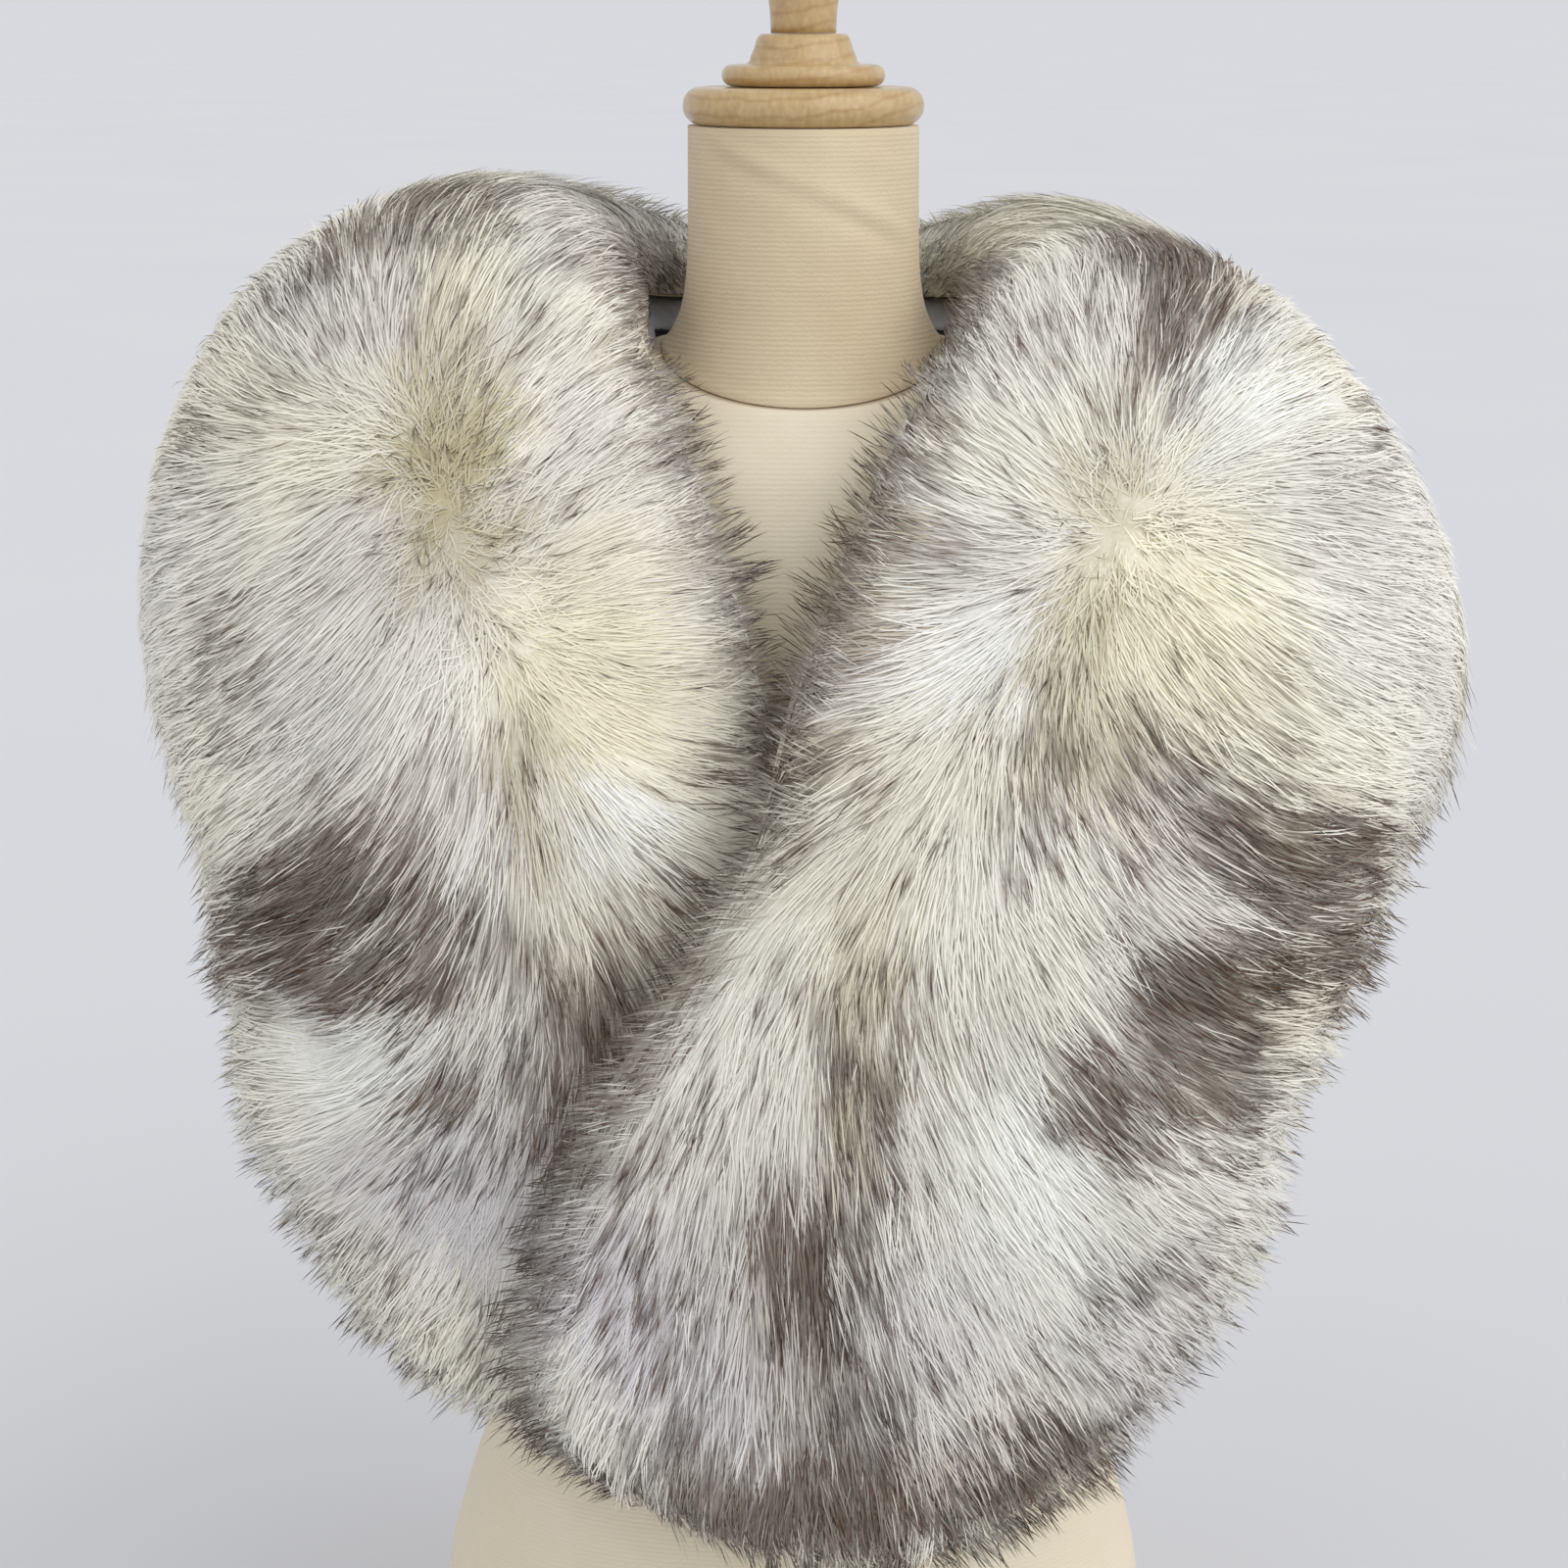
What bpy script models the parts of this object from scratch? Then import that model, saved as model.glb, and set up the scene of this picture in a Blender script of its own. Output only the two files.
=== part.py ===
"""Fox fur shawl on a limbless dress form.

Metres, +Z up. The front faces -Y and +X is the viewer's right. Z = 0 is the form's flat underside.
The shawl is two long pelts that meet at the centre back, run over the shoulders and overlap at the front.
Each pelt's pile is one thick wall, whose outer face is where the hair tips end, and a thin lining lies behind it.
"""

import math

import bmesh
import bpy
import numpy as np

MM = 0.001
SEAM_GAP = 0.3 * MM

# Colours of the real materials, as linear values.
FUR_COLOUR = (0.78, 0.76, 0.70, 1.0)
SATIN_COLOUR = (0.46, 0.47, 0.52, 1.0)
CANVAS_COLOUR = (0.68, 0.55, 0.37, 1.0)
WOOD_COLOUR = (0.61, 0.40, 0.19, 1.0)

# Fur wall: its sections, how round they are, and the depth of pelt behind the sheet in millimetres.
FUR_STATIONS = 42
FUR_END_STATIONS = 12
FUR_END_LENGTH = 3.0
FUR_ACROSS = 16
PILE_ROUNDING = 2.4
PELT_BACK = 7.0
END_ROUNDING = 2.6
END_BLUNTNESS = 1.012
NORMAL_STEP = 0.02

# Lining: a satin wall behind each pelt, short of the pile's overhang at both edges and at the front end.
LINING_WALL = 1.0
LINING_EDGE_STEPS = 3
LINING_SHORT = 2.2

# The lining's slack along the neck, in millimetres: it bulges from under the pile's inner edge towards the
# neck. It is whole up to one station, least from the next, and sags fully from the last.
SLACK_STEPS = 4
SLACK_BELOW_EDGE = 6.0
SLACK_REACH = 12.0
SLACK_DROP = {-1: 11.4, 1: 10.1}
SLACK_LEAST = 0.12
SLACK_FULL_UNTIL = 4.6
SLACK_LEAST_FROM = 6.2
SLACK_SAGS_FROM = 2.5

# Sections of each pile, in millimetres: inner tip edge, middle and outer tip edge of the sheet that the wall
# is built on, and the depth of the pile in front of that sheet near the inner edge, midway and near the outer.
SECTION_COLUMNS = ("in_x", "in_y", "in_z", "mid_x", "mid_y", "mid_z", "out_x", "out_y", "out_z",
                   "deep_in", "deep_mid", "deep_out")
LEFT_SECTIONS = (
    (0, 76, 702, 0, 117, 636, 0, 136, 440, 42, 46, 44),
    (-36, 73, 702, -58, 114, 642, -82, 133, 441, 42, 46, 44),
    (-60, 54, 703, -110, 95, 656, -158, 115, 448, 44, 48, 46),
    (-73, 30, 706, -158, 62, 668, -222, 75, 464, 48, 52, 50),
    (-77, 6, 707, -203, 20, 673, -264, 16, 492, 52, 55, 54),
    (-74, -18, 697, -204, -32, 650, -261, -22, 482, 52, 54, 50),
    (-66, -48, 675, -184, -72, 602, -247, -48, 460, 50, 54, 48),
    (-50, -82, 640, -164, -97, 556, -242, -62, 432, 42, 54, 48),
    (-33, -108, 596, -148, -114, 508, -243, -70, 400, 30, 50, 48),
    (-16, -128, 534, -132, -128, 452, -238, -76, 368, 20, 42, 48),
    (-2, -136, 472, -119, -134, 404, -228, -84, 338, 16, 33, 46),
    (10, -137, 412, -104, -136, 358, -209, -92, 308, 15, 27, 44),
    (16, -137, 352, -88, -135, 314, -187, -102, 277, 15, 25, 42),
    (8, -135, 300, -78, -133, 278, -160, -112, 253, 15, 25, 38),
    (-20, -131, 262, -77, -130, 250, -131, -118, 240, 15, 24, 33),
    (-50, -127, 240, -78, -127, 236, -106, -122, 235, 15, 22, 28),
)
RIGHT_SECTIONS = (
    (0, 76, 702, 0, 117, 636, 0, 136, 440, 42, 46, 44),
    (36, 73, 702, 58, 114, 641, 82, 133, 441, 42, 46, 44),
    (62, 54, 702, 110, 95, 652, 158, 115, 448, 44, 48, 46),
    (77, 30, 703, 155, 62, 661, 224, 75, 464, 48, 52, 50),
    (81, 6, 703, 190, 18, 651, 279, 14, 490, 50, 53, 56),
    (77, -20, 696, 195, -34, 634, 266, -22, 478, 51, 52, 52),
    (62, -50, 679, 178, -74, 590, 250, -50, 464, 50, 53, 50),
    (40, -86, 650, 152, -108, 546, 237, -72, 440, 50, 54, 48),
    (19, -113, 606, 130, -134, 500, 222, -88, 410, 50, 54, 48),
    (-3, -146, 554, 112, -152, 455, 208, -102, 377, 50, 54, 48),
    (-20, -170, 498, 93, -162, 412, 195, -114, 344, 48, 54, 50),
    (-54, -176, 440, 73, -166, 366, 185, -122, 314, 44, 54, 50),
    (-83, -178, 394, 52, -168, 324, 171, -131, 288, 42, 54, 50),
    (-101, -178, 345, 35, -168, 287, 152, -140, 261, 42, 54, 50),
    (-114, -176, 302, 20, -166, 254, 125, -147, 235, 42, 52, 48),
    (-113, -172, 264, 8, -164, 229, 97, -152, 213, 42, 50, 46),
    (-94, -168, 235, -2, -162, 207, 68, -156, 196, 42, 48, 44),
    (-52, -164, 209, -4, -161, 191, 40, -158, 187, 40, 44, 42),
)

# Folds pressed into the pile, in millimetres seen from the front: which half, the two ends of the fold's line,
# how wide it is and how deep. They fade out towards the sides over the depth that follows.
FOLD_COLUMNS = ("side", "from_x", "from_z", "to_x", "to_z", "wide", "deep")
FOLDS = (
    (-1, -290, 398, -188, 404, 17.0, 17.0),
    (1, 270, 382, 188, 366, 18.0, 14.0),
)
FOLD_FRONT = 40.0

# Torso rings, in millimetres: height at the sides, half breadth, depth in front and behind, fall from the
# sides to the front, and how square the ring is. The last row is the neck seam.
RING_COLUMNS = ("height", "half", "front", "back", "fall", "square")
TORSO_RINGS = (
    (0, 165, 100, 110, 0, 2.3),
    (40, 168, 104, 116, 0, 2.3),
    (95, 167, 106, 118, 0, 2.3),
    (138, 157, 103, 115, 0, 2.3),
    (185, 142, 96, 105, 0, 2.3),
    (245, 124, 86, 90, 0, 2.2),
    (305, 118, 80, 80, 0, 2.2),
    (365, 124, 86, 81, 0, 2.2),
    (420, 133, 97, 86, 0, 2.3),
    (462, 140, 107, 91, 0, 2.3),
    (502, 146, 113, 96, 0, 2.3),
    (540, 154, 109, 99, 3, 2.3),
    (572, 164, 101, 100, 7, 2.3),
    (602, 172, 92, 99, 11, 2.3),
    (622, 174, 86, 96, 14, 2.3),
    (640, 170, 80, 92, 17, 2.2),
    (654, 156, 75, 86, 19, 2.1),
    (666, 130, 69, 79, 21, 2.0),
    (676, 100, 63, 71, 22, 2.0),
    (682, 78, 59, 65, 22, 2.0),
    (684.6, 63.5, 56, 60, 22, 2.0),
)
NECK_RINGS = (
    (685, 63.5, 56, 60, 22, 2.0),
    (692, 58.4, 53.6, 57.2, 20, 2.0),
    (702, 54.2, 51.6, 55, 16, 2.0),
    (717, 51.8, 50.2, 53, 11, 2.0),
    (740, 51.0, 49.8, 52, 5, 2.0),
    (780.5, 50.7, 49.6, 51.6, 0, 2.0),
)
BODY_SEGMENTS = 36
HIP_LEAN = -5.0
BACK_RISE_SHARE = 0.25
LEAN_TOP = 660.0

# Turned wooden cap, in millimetres.
CAP_BASE = 780.8
CAP_CENTRE_Y = 1.0
DISC_RADIUS = 53.0
DISC_HEIGHT = 16.2
DISC_NOSE = 7.4
RING_RADIUS = 35.8
RING_HEIGHT = 9.2
RING_NOSE = 4.4
CONE_FOOT_RADIUS = 23.2
CONE_HEAD_RADIUS = 19.6
CONE_HEIGHT = 13.0
CONE_EASE = 3.2
CONE_LIP = 1.2
STEM_FOOT_RADIUS = 14.3
STEM_WAIST_RADIUS = 14.7
STEM_HEAD_RADIUS = 16.0
STEM_HEIGHT = 18.0
KNOB_HEIGHT = 14.0
CAP_SEGMENTS = 36
NOSE_STEPS = 6


def clear_scene():
    for obj in list(bpy.data.objects):
        bpy.data.objects.remove(obj, do_unlink=True)


def make_material(name, colour, roughness):
    material = bpy.data.materials.new(name)
    material.use_nodes = True
    shader = material.node_tree.nodes["Principled BSDF"]
    shader.inputs["Base Color"].default_value = colour
    shader.inputs["Roughness"].default_value = roughness
    return material


def add_object(name, points, faces, material):
    """One closed body with its faces turned outward and smooth shading."""
    mesh = bpy.data.meshes.new(name)
    mesh.from_pydata([tuple(p) for p in points], [], faces)
    body = bmesh.new()
    body.from_mesh(mesh)
    bmesh.ops.recalc_face_normals(body, faces=body.faces)
    bmesh.ops.triangulate(body, faces=body.faces)
    body.to_mesh(mesh)
    body.free()
    mesh.polygons.foreach_set("use_smooth", [True] * len(mesh.polygons))
    mesh.materials.append(material)
    obj = bpy.data.objects.new(name, mesh)
    bpy.context.scene.collection.objects.link(obj)
    return obj


def loft(rings):
    """Quads between neighbouring closed rings, without the two ends."""
    count = len(rings[0])
    points = [p for ring in rings for p in ring]
    faces = []
    for i in range(len(rings) - 1):
        for j in range(count):
            k = (j + 1) % count
            faces.append((i * count + j, i * count + k, (i + 1) * count + k, (i + 1) * count + j))
    return points, faces


def fan_end(points, faces, first, count):
    """Closes a convex end with triangles about its centre."""
    centre = np.mean(np.array(points[first:first + count]), axis=0)
    points.append(centre)
    for j in range(count):
        faces.append((first + j, first + (j + 1) % count, len(points) - 1))


def ladder_end(faces, first, count, front):
    """Closes a thin end across its wall: each point in front is joined to its mate behind."""
    for j in range(front):
        corners = []
        for step in (j, j + 1, (count - j - 1) % count, (count - j) % count):
            if first + step not in corners:
                corners.append(first + step)
        faces.append(tuple(corners))


def table_at(rows, u):
    """Rows of a table joined by a Catmull-Rom spline and read at u. The first row is a line of symmetry."""
    table = np.array(rows, dtype=float)
    before = table[1].copy()
    before[[0, 3, 6]] *= -1.0
    after = 2.0 * table[-1] - table[-2]
    table = np.vstack([before, table, after])
    u = np.asarray(u, dtype=float)
    i = np.clip(np.floor(u).astype(int), 0, len(rows) - 2)
    s = (u - i)[:, None]
    p0, p1, p2, p3 = (table[i + k] for k in range(4))
    return p1 + 0.5 * s * (p2 - p0 + s * (2 * p0 - 5 * p1 + 4 * p2 - p3 + s * (3 * (p1 - p2) + p3 - p0)))


def smooth_step(x):
    x = np.clip(x, 0.0, 1.0)
    return x * x * (3.0 - 2.0 * x)


def sheet_points(rows, u, t):
    """The middle sheet: across each section, a parabola through its inner, middle and outer points."""
    row = table_at(rows, u)
    inner, middle, outer = row[:, None, 0:3], row[:, None, 3:6], row[:, None, 6:9]
    pull = 2.0 * middle - 0.5 * (inner + outer)
    t = t[None, :, None]
    return (1 - t) ** 2 * inner + 2 * t * (1 - t) * pull + t ** 2 * outer


def sheet_frame(rows, side, u, t):
    """Points of the sheet, in millimetres, and its normals away from the body."""
    points = sheet_points(rows, u, t)
    ahead = np.minimum(u + NORMAL_STEP, len(rows) - 1.0)
    along = sheet_points(rows, ahead, t) - sheet_points(rows, ahead - 2 * NORMAL_STEP, t)
    across = sheet_points(rows, u, t + NORMAL_STEP) - sheet_points(rows, u, t - NORMAL_STEP)
    normals = np.cross(along, across) * side
    normals[u == 0.0, :, 0] = 0.0
    normals /= np.linalg.norm(normals, axis=2, keepdims=True)
    return points, normals


def fold_depth(side, sheet):
    """How far the folds press the pile in, from each point's distance to a fold's line."""
    total = np.zeros(sheet.shape[:2])
    seen = sheet[..., (0, 2)]
    in_front = smooth_step(-sheet[..., 1] / FOLD_FRONT)
    for values in FOLDS:
        fold = dict(zip(FOLD_COLUMNS, values))
        if fold["side"] != side:
            continue
        start = np.array((fold["from_x"], fold["from_z"]), dtype=float)
        line = np.array((fold["to_x"], fold["to_z"])) - start
        share = np.clip(((seen - start) @ line) / (line @ line), 0.0, 1.0)
        away = np.linalg.norm(seen - start - share[..., None] * line, axis=2)
        total += fold["deep"] * np.exp(-(away / fold["wide"]) ** 2) * in_front
    return total


def end_taper(rows, u):
    """The wall thins round the front end of a half."""
    x = np.clip((u - len(rows) + 1.0 + FUR_END_LENGTH) / (FUR_END_LENGTH * END_BLUNTNESS), 0.0, 1.0)
    return np.sqrt(1.0 - x ** END_ROUNDING)


def section_rounding(t):
    return (1.0 - np.abs(1.0 - 2.0 * t) ** PILE_ROUNDING) ** (1.0 / PILE_ROUNDING)


def pile_depth(rows, side, u, t, sheet):
    row = table_at(rows, u)
    near_in = smooth_step(1.0 - 2.0 * t)[None, :]
    near_out = smooth_step(2.0 * t - 1.0)[None, :]
    deep = row[:, 9:10] * near_in + row[:, 10:11] * (1.0 - near_in - near_out) + row[:, 11:12] * near_out
    return (deep - fold_depth(side, sheet)) * section_rounding(t)[None, :] * end_taper(rows, u)[:, None]


def back_depth(rows, u, t):
    return PELT_BACK * section_rounding(t)[None, :] * end_taper(rows, u)[:, None]


def fur_stations(rows):
    """Even stations, then closer ones round the front end."""
    last = len(rows) - 1.0
    even = np.linspace(0.0, last - FUR_END_LENGTH, FUR_STATIONS, endpoint=False)
    turn = np.linspace(0.0, math.pi / 2, FUR_END_STATIONS + 1)
    return np.concatenate([even, last - FUR_END_LENGTH * (1.0 - np.sin(turn))])


def fur_across():
    return (1.0 - np.cos(np.linspace(0.0, math.pi, FUR_ACROSS + 1))) / 2.0


def part_at_centre_back(points, side):
    """Leaves half of the seam's gap on this side of the centre back."""
    points[0, :, 0] = side * SEAM_GAP / (2 * MM)


def build_fur(name, rows, side, material):
    u = fur_stations(rows)
    t = fur_across()
    sheet, normals = sheet_frame(rows, side, u, t)
    front = sheet + normals * pile_depth(rows, side, u, t, sheet)[..., None]
    back = sheet - normals * back_depth(rows, u, t)[..., None]
    ring = np.concatenate([front, back[:, -2:0:-1]], axis=1)
    part_at_centre_back(ring, side)
    points, faces = loft([list(r * MM) for r in ring])
    count = ring.shape[1]
    ladder_end(faces, 0, count, FUR_ACROSS)
    ladder_end(faces, (len(u) - 1) * count, count, FUR_ACROSS)
    return add_object(name, points, faces, material)


def lining_slack(rows, side, u, start):
    """Points from the lining's inner edge, under the pile's edge and on towards the neck, far end first."""
    edge, normals = sheet_frame(rows, side, u, np.zeros(1))
    below = (edge - normals * SLACK_BELOW_EDGE)[:, 0]
    inward = -edge[:, 0, :2] / np.linalg.norm(edge[:, 0, :2], axis=1)[:, None]
    sag = SLACK_DROP[side] * smooth_step(u / SLACK_SAGS_FROM)[:, None]
    end = below + np.concatenate([inward * SLACK_REACH, -sag], axis=1)
    share = smooth_step((SLACK_LEAST_FROM - u) / (SLACK_LEAST_FROM - SLACK_FULL_UNTIL))[:, None]
    share = SLACK_LEAST + (1.0 - SLACK_LEAST) * share
    steps = []
    for k in range(SLACK_STEPS, 0, -1):
        q = k / SLACK_STEPS
        point = (1 - q) ** 2 * start + 2 * q * (1 - q) * below + q ** 2 * end
        steps.append(start + (point - start) * share)
    return np.stack(steps, axis=1)


def build_lining(name, rows, side, material):
    """A thin wall made from the points of the pelt's back, moved inward by the seam gap."""
    u = fur_stations(rows)
    u = u[u < len(rows) - 1.0 - LINING_SHORT]
    t = fur_across()[LINING_EDGE_STEPS:-LINING_EDGE_STEPS]
    sheet, normals = sheet_frame(rows, side, u, t)
    near = back_depth(rows, u, t)[..., None] + SEAM_GAP / MM
    upper = sheet - normals * near
    under = sheet - normals * (near + LINING_WALL)
    slack = lining_slack(rows, side, u, upper[:, 0])
    upper = np.concatenate([slack, upper], axis=1)
    under = np.concatenate([slack - normals[:, :1] * LINING_WALL, under], axis=1)
    ring = np.concatenate([upper, under[:, ::-1]], axis=1)
    part_at_centre_back(ring, side)
    points, faces = loft([list(r * MM) for r in ring])
    count = ring.shape[1]
    for first in (0, (len(u) - 1) * count):
        for j in range(count // 2 - 1):
            faces.append((first + j, first + j + 1, first + count - 2 - j, first + count - 1 - j))
    return add_object(name, points, faces, material)


def body_ring(values):
    """One ring of the form: a rounded oval that rises towards the back. The form leans a little at the hips."""
    ring = dict(zip(RING_COLUMNS, values))
    lean = HIP_LEAN * max(0.0, 1.0 - ring["height"] / LEAN_TOP)
    power = 2.0 / ring["square"]
    points = []
    for k in range(BODY_SEGMENTS):
        angle = 2.0 * math.pi * k / BODY_SEGMENTS
        c, s = math.cos(angle), math.sin(angle)
        across = math.copysign(abs(c) ** power, c)
        deep = math.copysign(abs(s) ** power, s)
        depth, slope = (ring["back"], ring["fall"] * BACK_RISE_SHARE) if s > 0 else (ring["front"], ring["fall"])
        x, y, z = lean + across * ring["half"], deep * depth, ring["height"] + deep * slope
        points.append(np.array((x, y, z)) * MM)
    return points


def build_body(name, rows, material):
    points, faces = loft([body_ring(row) for row in rows])
    fan_end(points, faces, 0, BODY_SEGMENTS)
    fan_end(points, faces, (len(rows) - 1) * BODY_SEGMENTS, BODY_SEGMENTS)
    return add_object(name, points, faces, material)


def build_turned(name, profile, material):
    """A solid of revolution about the neck's axis from (radius, height) pairs in millimetres."""
    rings = []
    for radius, height in profile:
        ring = []
        for k in range(CAP_SEGMENTS):
            angle = 2.0 * math.pi * k / CAP_SEGMENTS
            x, y = radius * math.cos(angle), CAP_CENTRE_Y + radius * math.sin(angle)
            ring.append(np.array((x, y, height)) * MM)
        rings.append(ring)
    points, faces = loft(rings)
    fan_end(points, faces, 0, CAP_SEGMENTS)
    fan_end(points, faces, (len(rings) - 1) * CAP_SEGMENTS, CAP_SEGMENTS)
    return add_object(name, points, faces, material)


def bullnose(radius, nose_radius, low, high):
    """The rounded edge of a disc between two heights."""
    pairs = []
    middle = (low + high) / 2.0
    half = (high - low) / 2.0
    for k in range(NOSE_STEPS + 1):
        angle = -math.pi / 2 + math.pi * k / NOSE_STEPS
        pairs.append((radius - nose_radius + nose_radius * math.cos(angle), middle + half * math.sin(angle)))
    return pairs


def build_cap(material):
    disc_top = CAP_BASE + DISC_HEIGHT
    build_turned("cap_disc", bullnose(DISC_RADIUS, DISC_NOSE, CAP_BASE, disc_top), material)
    ring_low = disc_top + SEAM_GAP / MM
    cone_low = ring_low + RING_HEIGHT
    cone_top = cone_low + CONE_HEIGHT
    boss = bullnose(RING_RADIUS, RING_NOSE, ring_low, cone_low)
    boss += [(CONE_FOOT_RADIUS + CONE_EASE, cone_low), (CONE_FOOT_RADIUS, cone_low + CONE_EASE)]
    boss += [(CONE_HEAD_RADIUS + CONE_LIP, cone_top - CONE_EASE), (CONE_HEAD_RADIUS, cone_top - CONE_LIP)]
    boss += [(CONE_HEAD_RADIUS - CONE_LIP, cone_top)]
    build_turned("cap_boss", boss, material)
    stem_low = cone_top + SEAM_GAP / MM
    stem_top = stem_low + STEM_HEIGHT
    stem = [(STEM_FOOT_RADIUS, stem_low), (STEM_WAIST_RADIUS, stem_low + STEM_HEIGHT / 2)]
    for k in range(NOSE_STEPS):
        angle = (math.pi / 2) * k / NOSE_STEPS
        stem.append((STEM_HEAD_RADIUS * math.cos(angle), stem_top + KNOB_HEIGHT * math.sin(angle)))
    build_turned("cap_finial", stem, material)


def main():
    clear_scene()
    fur = make_material("fox_fur", FUR_COLOUR, 0.9)
    satin = make_material("lining_satin", SATIN_COLOUR, 0.4)
    canvas = make_material("form_canvas", CANVAS_COLOUR, 0.85)
    wood = make_material("turned_wood", WOOD_COLOUR, 0.35)
    build_fur("fur_left", LEFT_SECTIONS, -1, fur)
    build_fur("fur_right", RIGHT_SECTIONS, 1, fur)
    build_lining("lining_left", LEFT_SECTIONS, -1, satin)
    build_lining("lining_right", RIGHT_SECTIONS, 1, satin)
    build_body("form_torso", TORSO_RINGS, canvas)
    build_body("form_neck", NECK_RINGS, canvas)
    build_cap(wood)


main()
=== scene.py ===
"""Looks of the fox fur shawl on its limbless dress form.

Metres in the frame; the form's tables are in millimetres. The front faces -Y and +X is the viewer's right.
Each half of the shawl is a pelt of thin leather, a woolly undercoat, three layers of hair and a fringe along
the pelt's edges. The hair is combed from a table of directions, gathered into locks, and coloured from a
table of markings.
"""

import math
from functools import partial

import bmesh
import bpy
import numpy as np
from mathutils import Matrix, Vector, kdtree


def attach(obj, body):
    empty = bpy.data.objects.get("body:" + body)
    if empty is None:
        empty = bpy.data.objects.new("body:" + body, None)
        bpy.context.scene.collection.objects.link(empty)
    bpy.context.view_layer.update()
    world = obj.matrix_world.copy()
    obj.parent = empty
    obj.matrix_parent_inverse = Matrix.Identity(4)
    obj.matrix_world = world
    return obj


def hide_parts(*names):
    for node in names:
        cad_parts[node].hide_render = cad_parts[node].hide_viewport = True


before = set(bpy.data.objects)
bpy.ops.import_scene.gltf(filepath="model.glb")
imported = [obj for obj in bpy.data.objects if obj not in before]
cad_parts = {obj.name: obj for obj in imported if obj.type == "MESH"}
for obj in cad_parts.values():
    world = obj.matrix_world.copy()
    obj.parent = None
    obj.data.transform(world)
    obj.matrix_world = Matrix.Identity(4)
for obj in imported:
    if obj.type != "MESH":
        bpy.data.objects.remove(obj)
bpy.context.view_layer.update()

MM = 0.001

# The photo's half width, the lens, and how far its middle lies below the horizon, in pixels of 1600, and the
# camera's place in metres.
PHOTO_HALF = 800
PHOTO_FOCAL = 3293
CAMERA_DROP = 798
CAMERA_PLACE = (-0.0085, -1.443, 0.833)

# The pile's sections, as the part has them.
PILE_ROUNDING = 2.4
PELT_BACK = 7.0
END_LENGTH = 3.0
END_ROUNDING = 2.6
END_BLUNTNESS = 1.012
SECTION_COLUMNS = ("in_x", "in_y", "in_z", "mid_x", "mid_y", "mid_z", "out_x", "out_y", "out_z",
                   "deep_in", "deep_mid", "deep_out")
SECTIONS = {
    -1: (
        (0, 76, 702, 0, 117, 636, 0, 136, 440, 42, 46, 44),
        (-36, 73, 702, -58, 114, 642, -82, 133, 441, 42, 46, 44),
        (-60, 54, 703, -110, 95, 656, -158, 115, 448, 44, 48, 46),
        (-73, 30, 706, -158, 62, 668, -222, 75, 464, 48, 52, 50),
        (-77, 6, 707, -203, 20, 673, -264, 16, 492, 52, 55, 54),
        (-74, -18, 697, -204, -32, 650, -261, -22, 482, 52, 54, 50),
        (-66, -48, 675, -184, -72, 602, -247, -48, 460, 50, 54, 48),
        (-50, -82, 640, -164, -97, 556, -242, -62, 432, 42, 54, 48),
        (-33, -108, 596, -148, -114, 508, -243, -70, 400, 30, 50, 48),
        (-16, -128, 534, -132, -128, 452, -238, -76, 368, 20, 42, 48),
        (-2, -136, 472, -119, -134, 404, -228, -84, 338, 16, 33, 46),
        (10, -137, 412, -104, -136, 358, -209, -92, 308, 15, 27, 44),
        (16, -137, 352, -88, -135, 314, -187, -102, 277, 15, 25, 42),
        (8, -135, 300, -78, -133, 278, -160, -112, 253, 15, 25, 38),
        (-20, -131, 262, -77, -130, 250, -131, -118, 240, 15, 24, 33),
        (-50, -127, 240, -78, -127, 236, -106, -122, 235, 15, 22, 28),
    ),
    1: (
        (0, 76, 702, 0, 117, 636, 0, 136, 440, 42, 46, 44),
        (36, 73, 702, 58, 114, 641, 82, 133, 441, 42, 46, 44),
        (62, 54, 702, 110, 95, 652, 158, 115, 448, 44, 48, 46),
        (77, 30, 703, 155, 62, 661, 224, 75, 464, 48, 52, 50),
        (81, 6, 703, 190, 18, 651, 279, 14, 490, 50, 53, 56),
        (77, -20, 696, 195, -34, 634, 266, -22, 478, 51, 52, 52),
        (62, -50, 679, 178, -74, 590, 250, -50, 464, 50, 53, 50),
        (40, -86, 650, 152, -108, 546, 237, -72, 440, 50, 54, 48),
        (19, -113, 606, 130, -134, 500, 222, -88, 410, 50, 54, 48),
        (-3, -146, 554, 112, -152, 455, 208, -102, 377, 50, 54, 48),
        (-20, -170, 498, 93, -162, 412, 195, -114, 344, 48, 54, 50),
        (-54, -176, 440, 73, -166, 366, 185, -122, 314, 44, 54, 50),
        (-83, -178, 394, 52, -168, 324, 171, -131, 288, 42, 54, 50),
        (-101, -178, 345, 35, -168, 287, 152, -140, 261, 42, 54, 50),
        (-114, -176, 302, 20, -166, 254, 125, -147, 235, 42, 52, 48),
        (-113, -172, 264, 8, -164, 229, 97, -152, 213, 42, 50, 46),
        (-94, -168, 235, -2, -162, 207, 68, -156, 196, 42, 48, 44),
        (-52, -164, 209, -4, -161, 191, 40, -158, 187, 40, 44, 42),
    ),
}
FOLD_COLUMNS = ("side", "from_x", "from_z", "to_x", "to_z", "wide", "deep")
FOLDS = (
    (-1, -290, 398, -188, 404, 17.0, 17.0),
    (1, 270, 382, 188, 366, 18.0, 14.0),
)
FOLD_FRONT = 40.0

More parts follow.
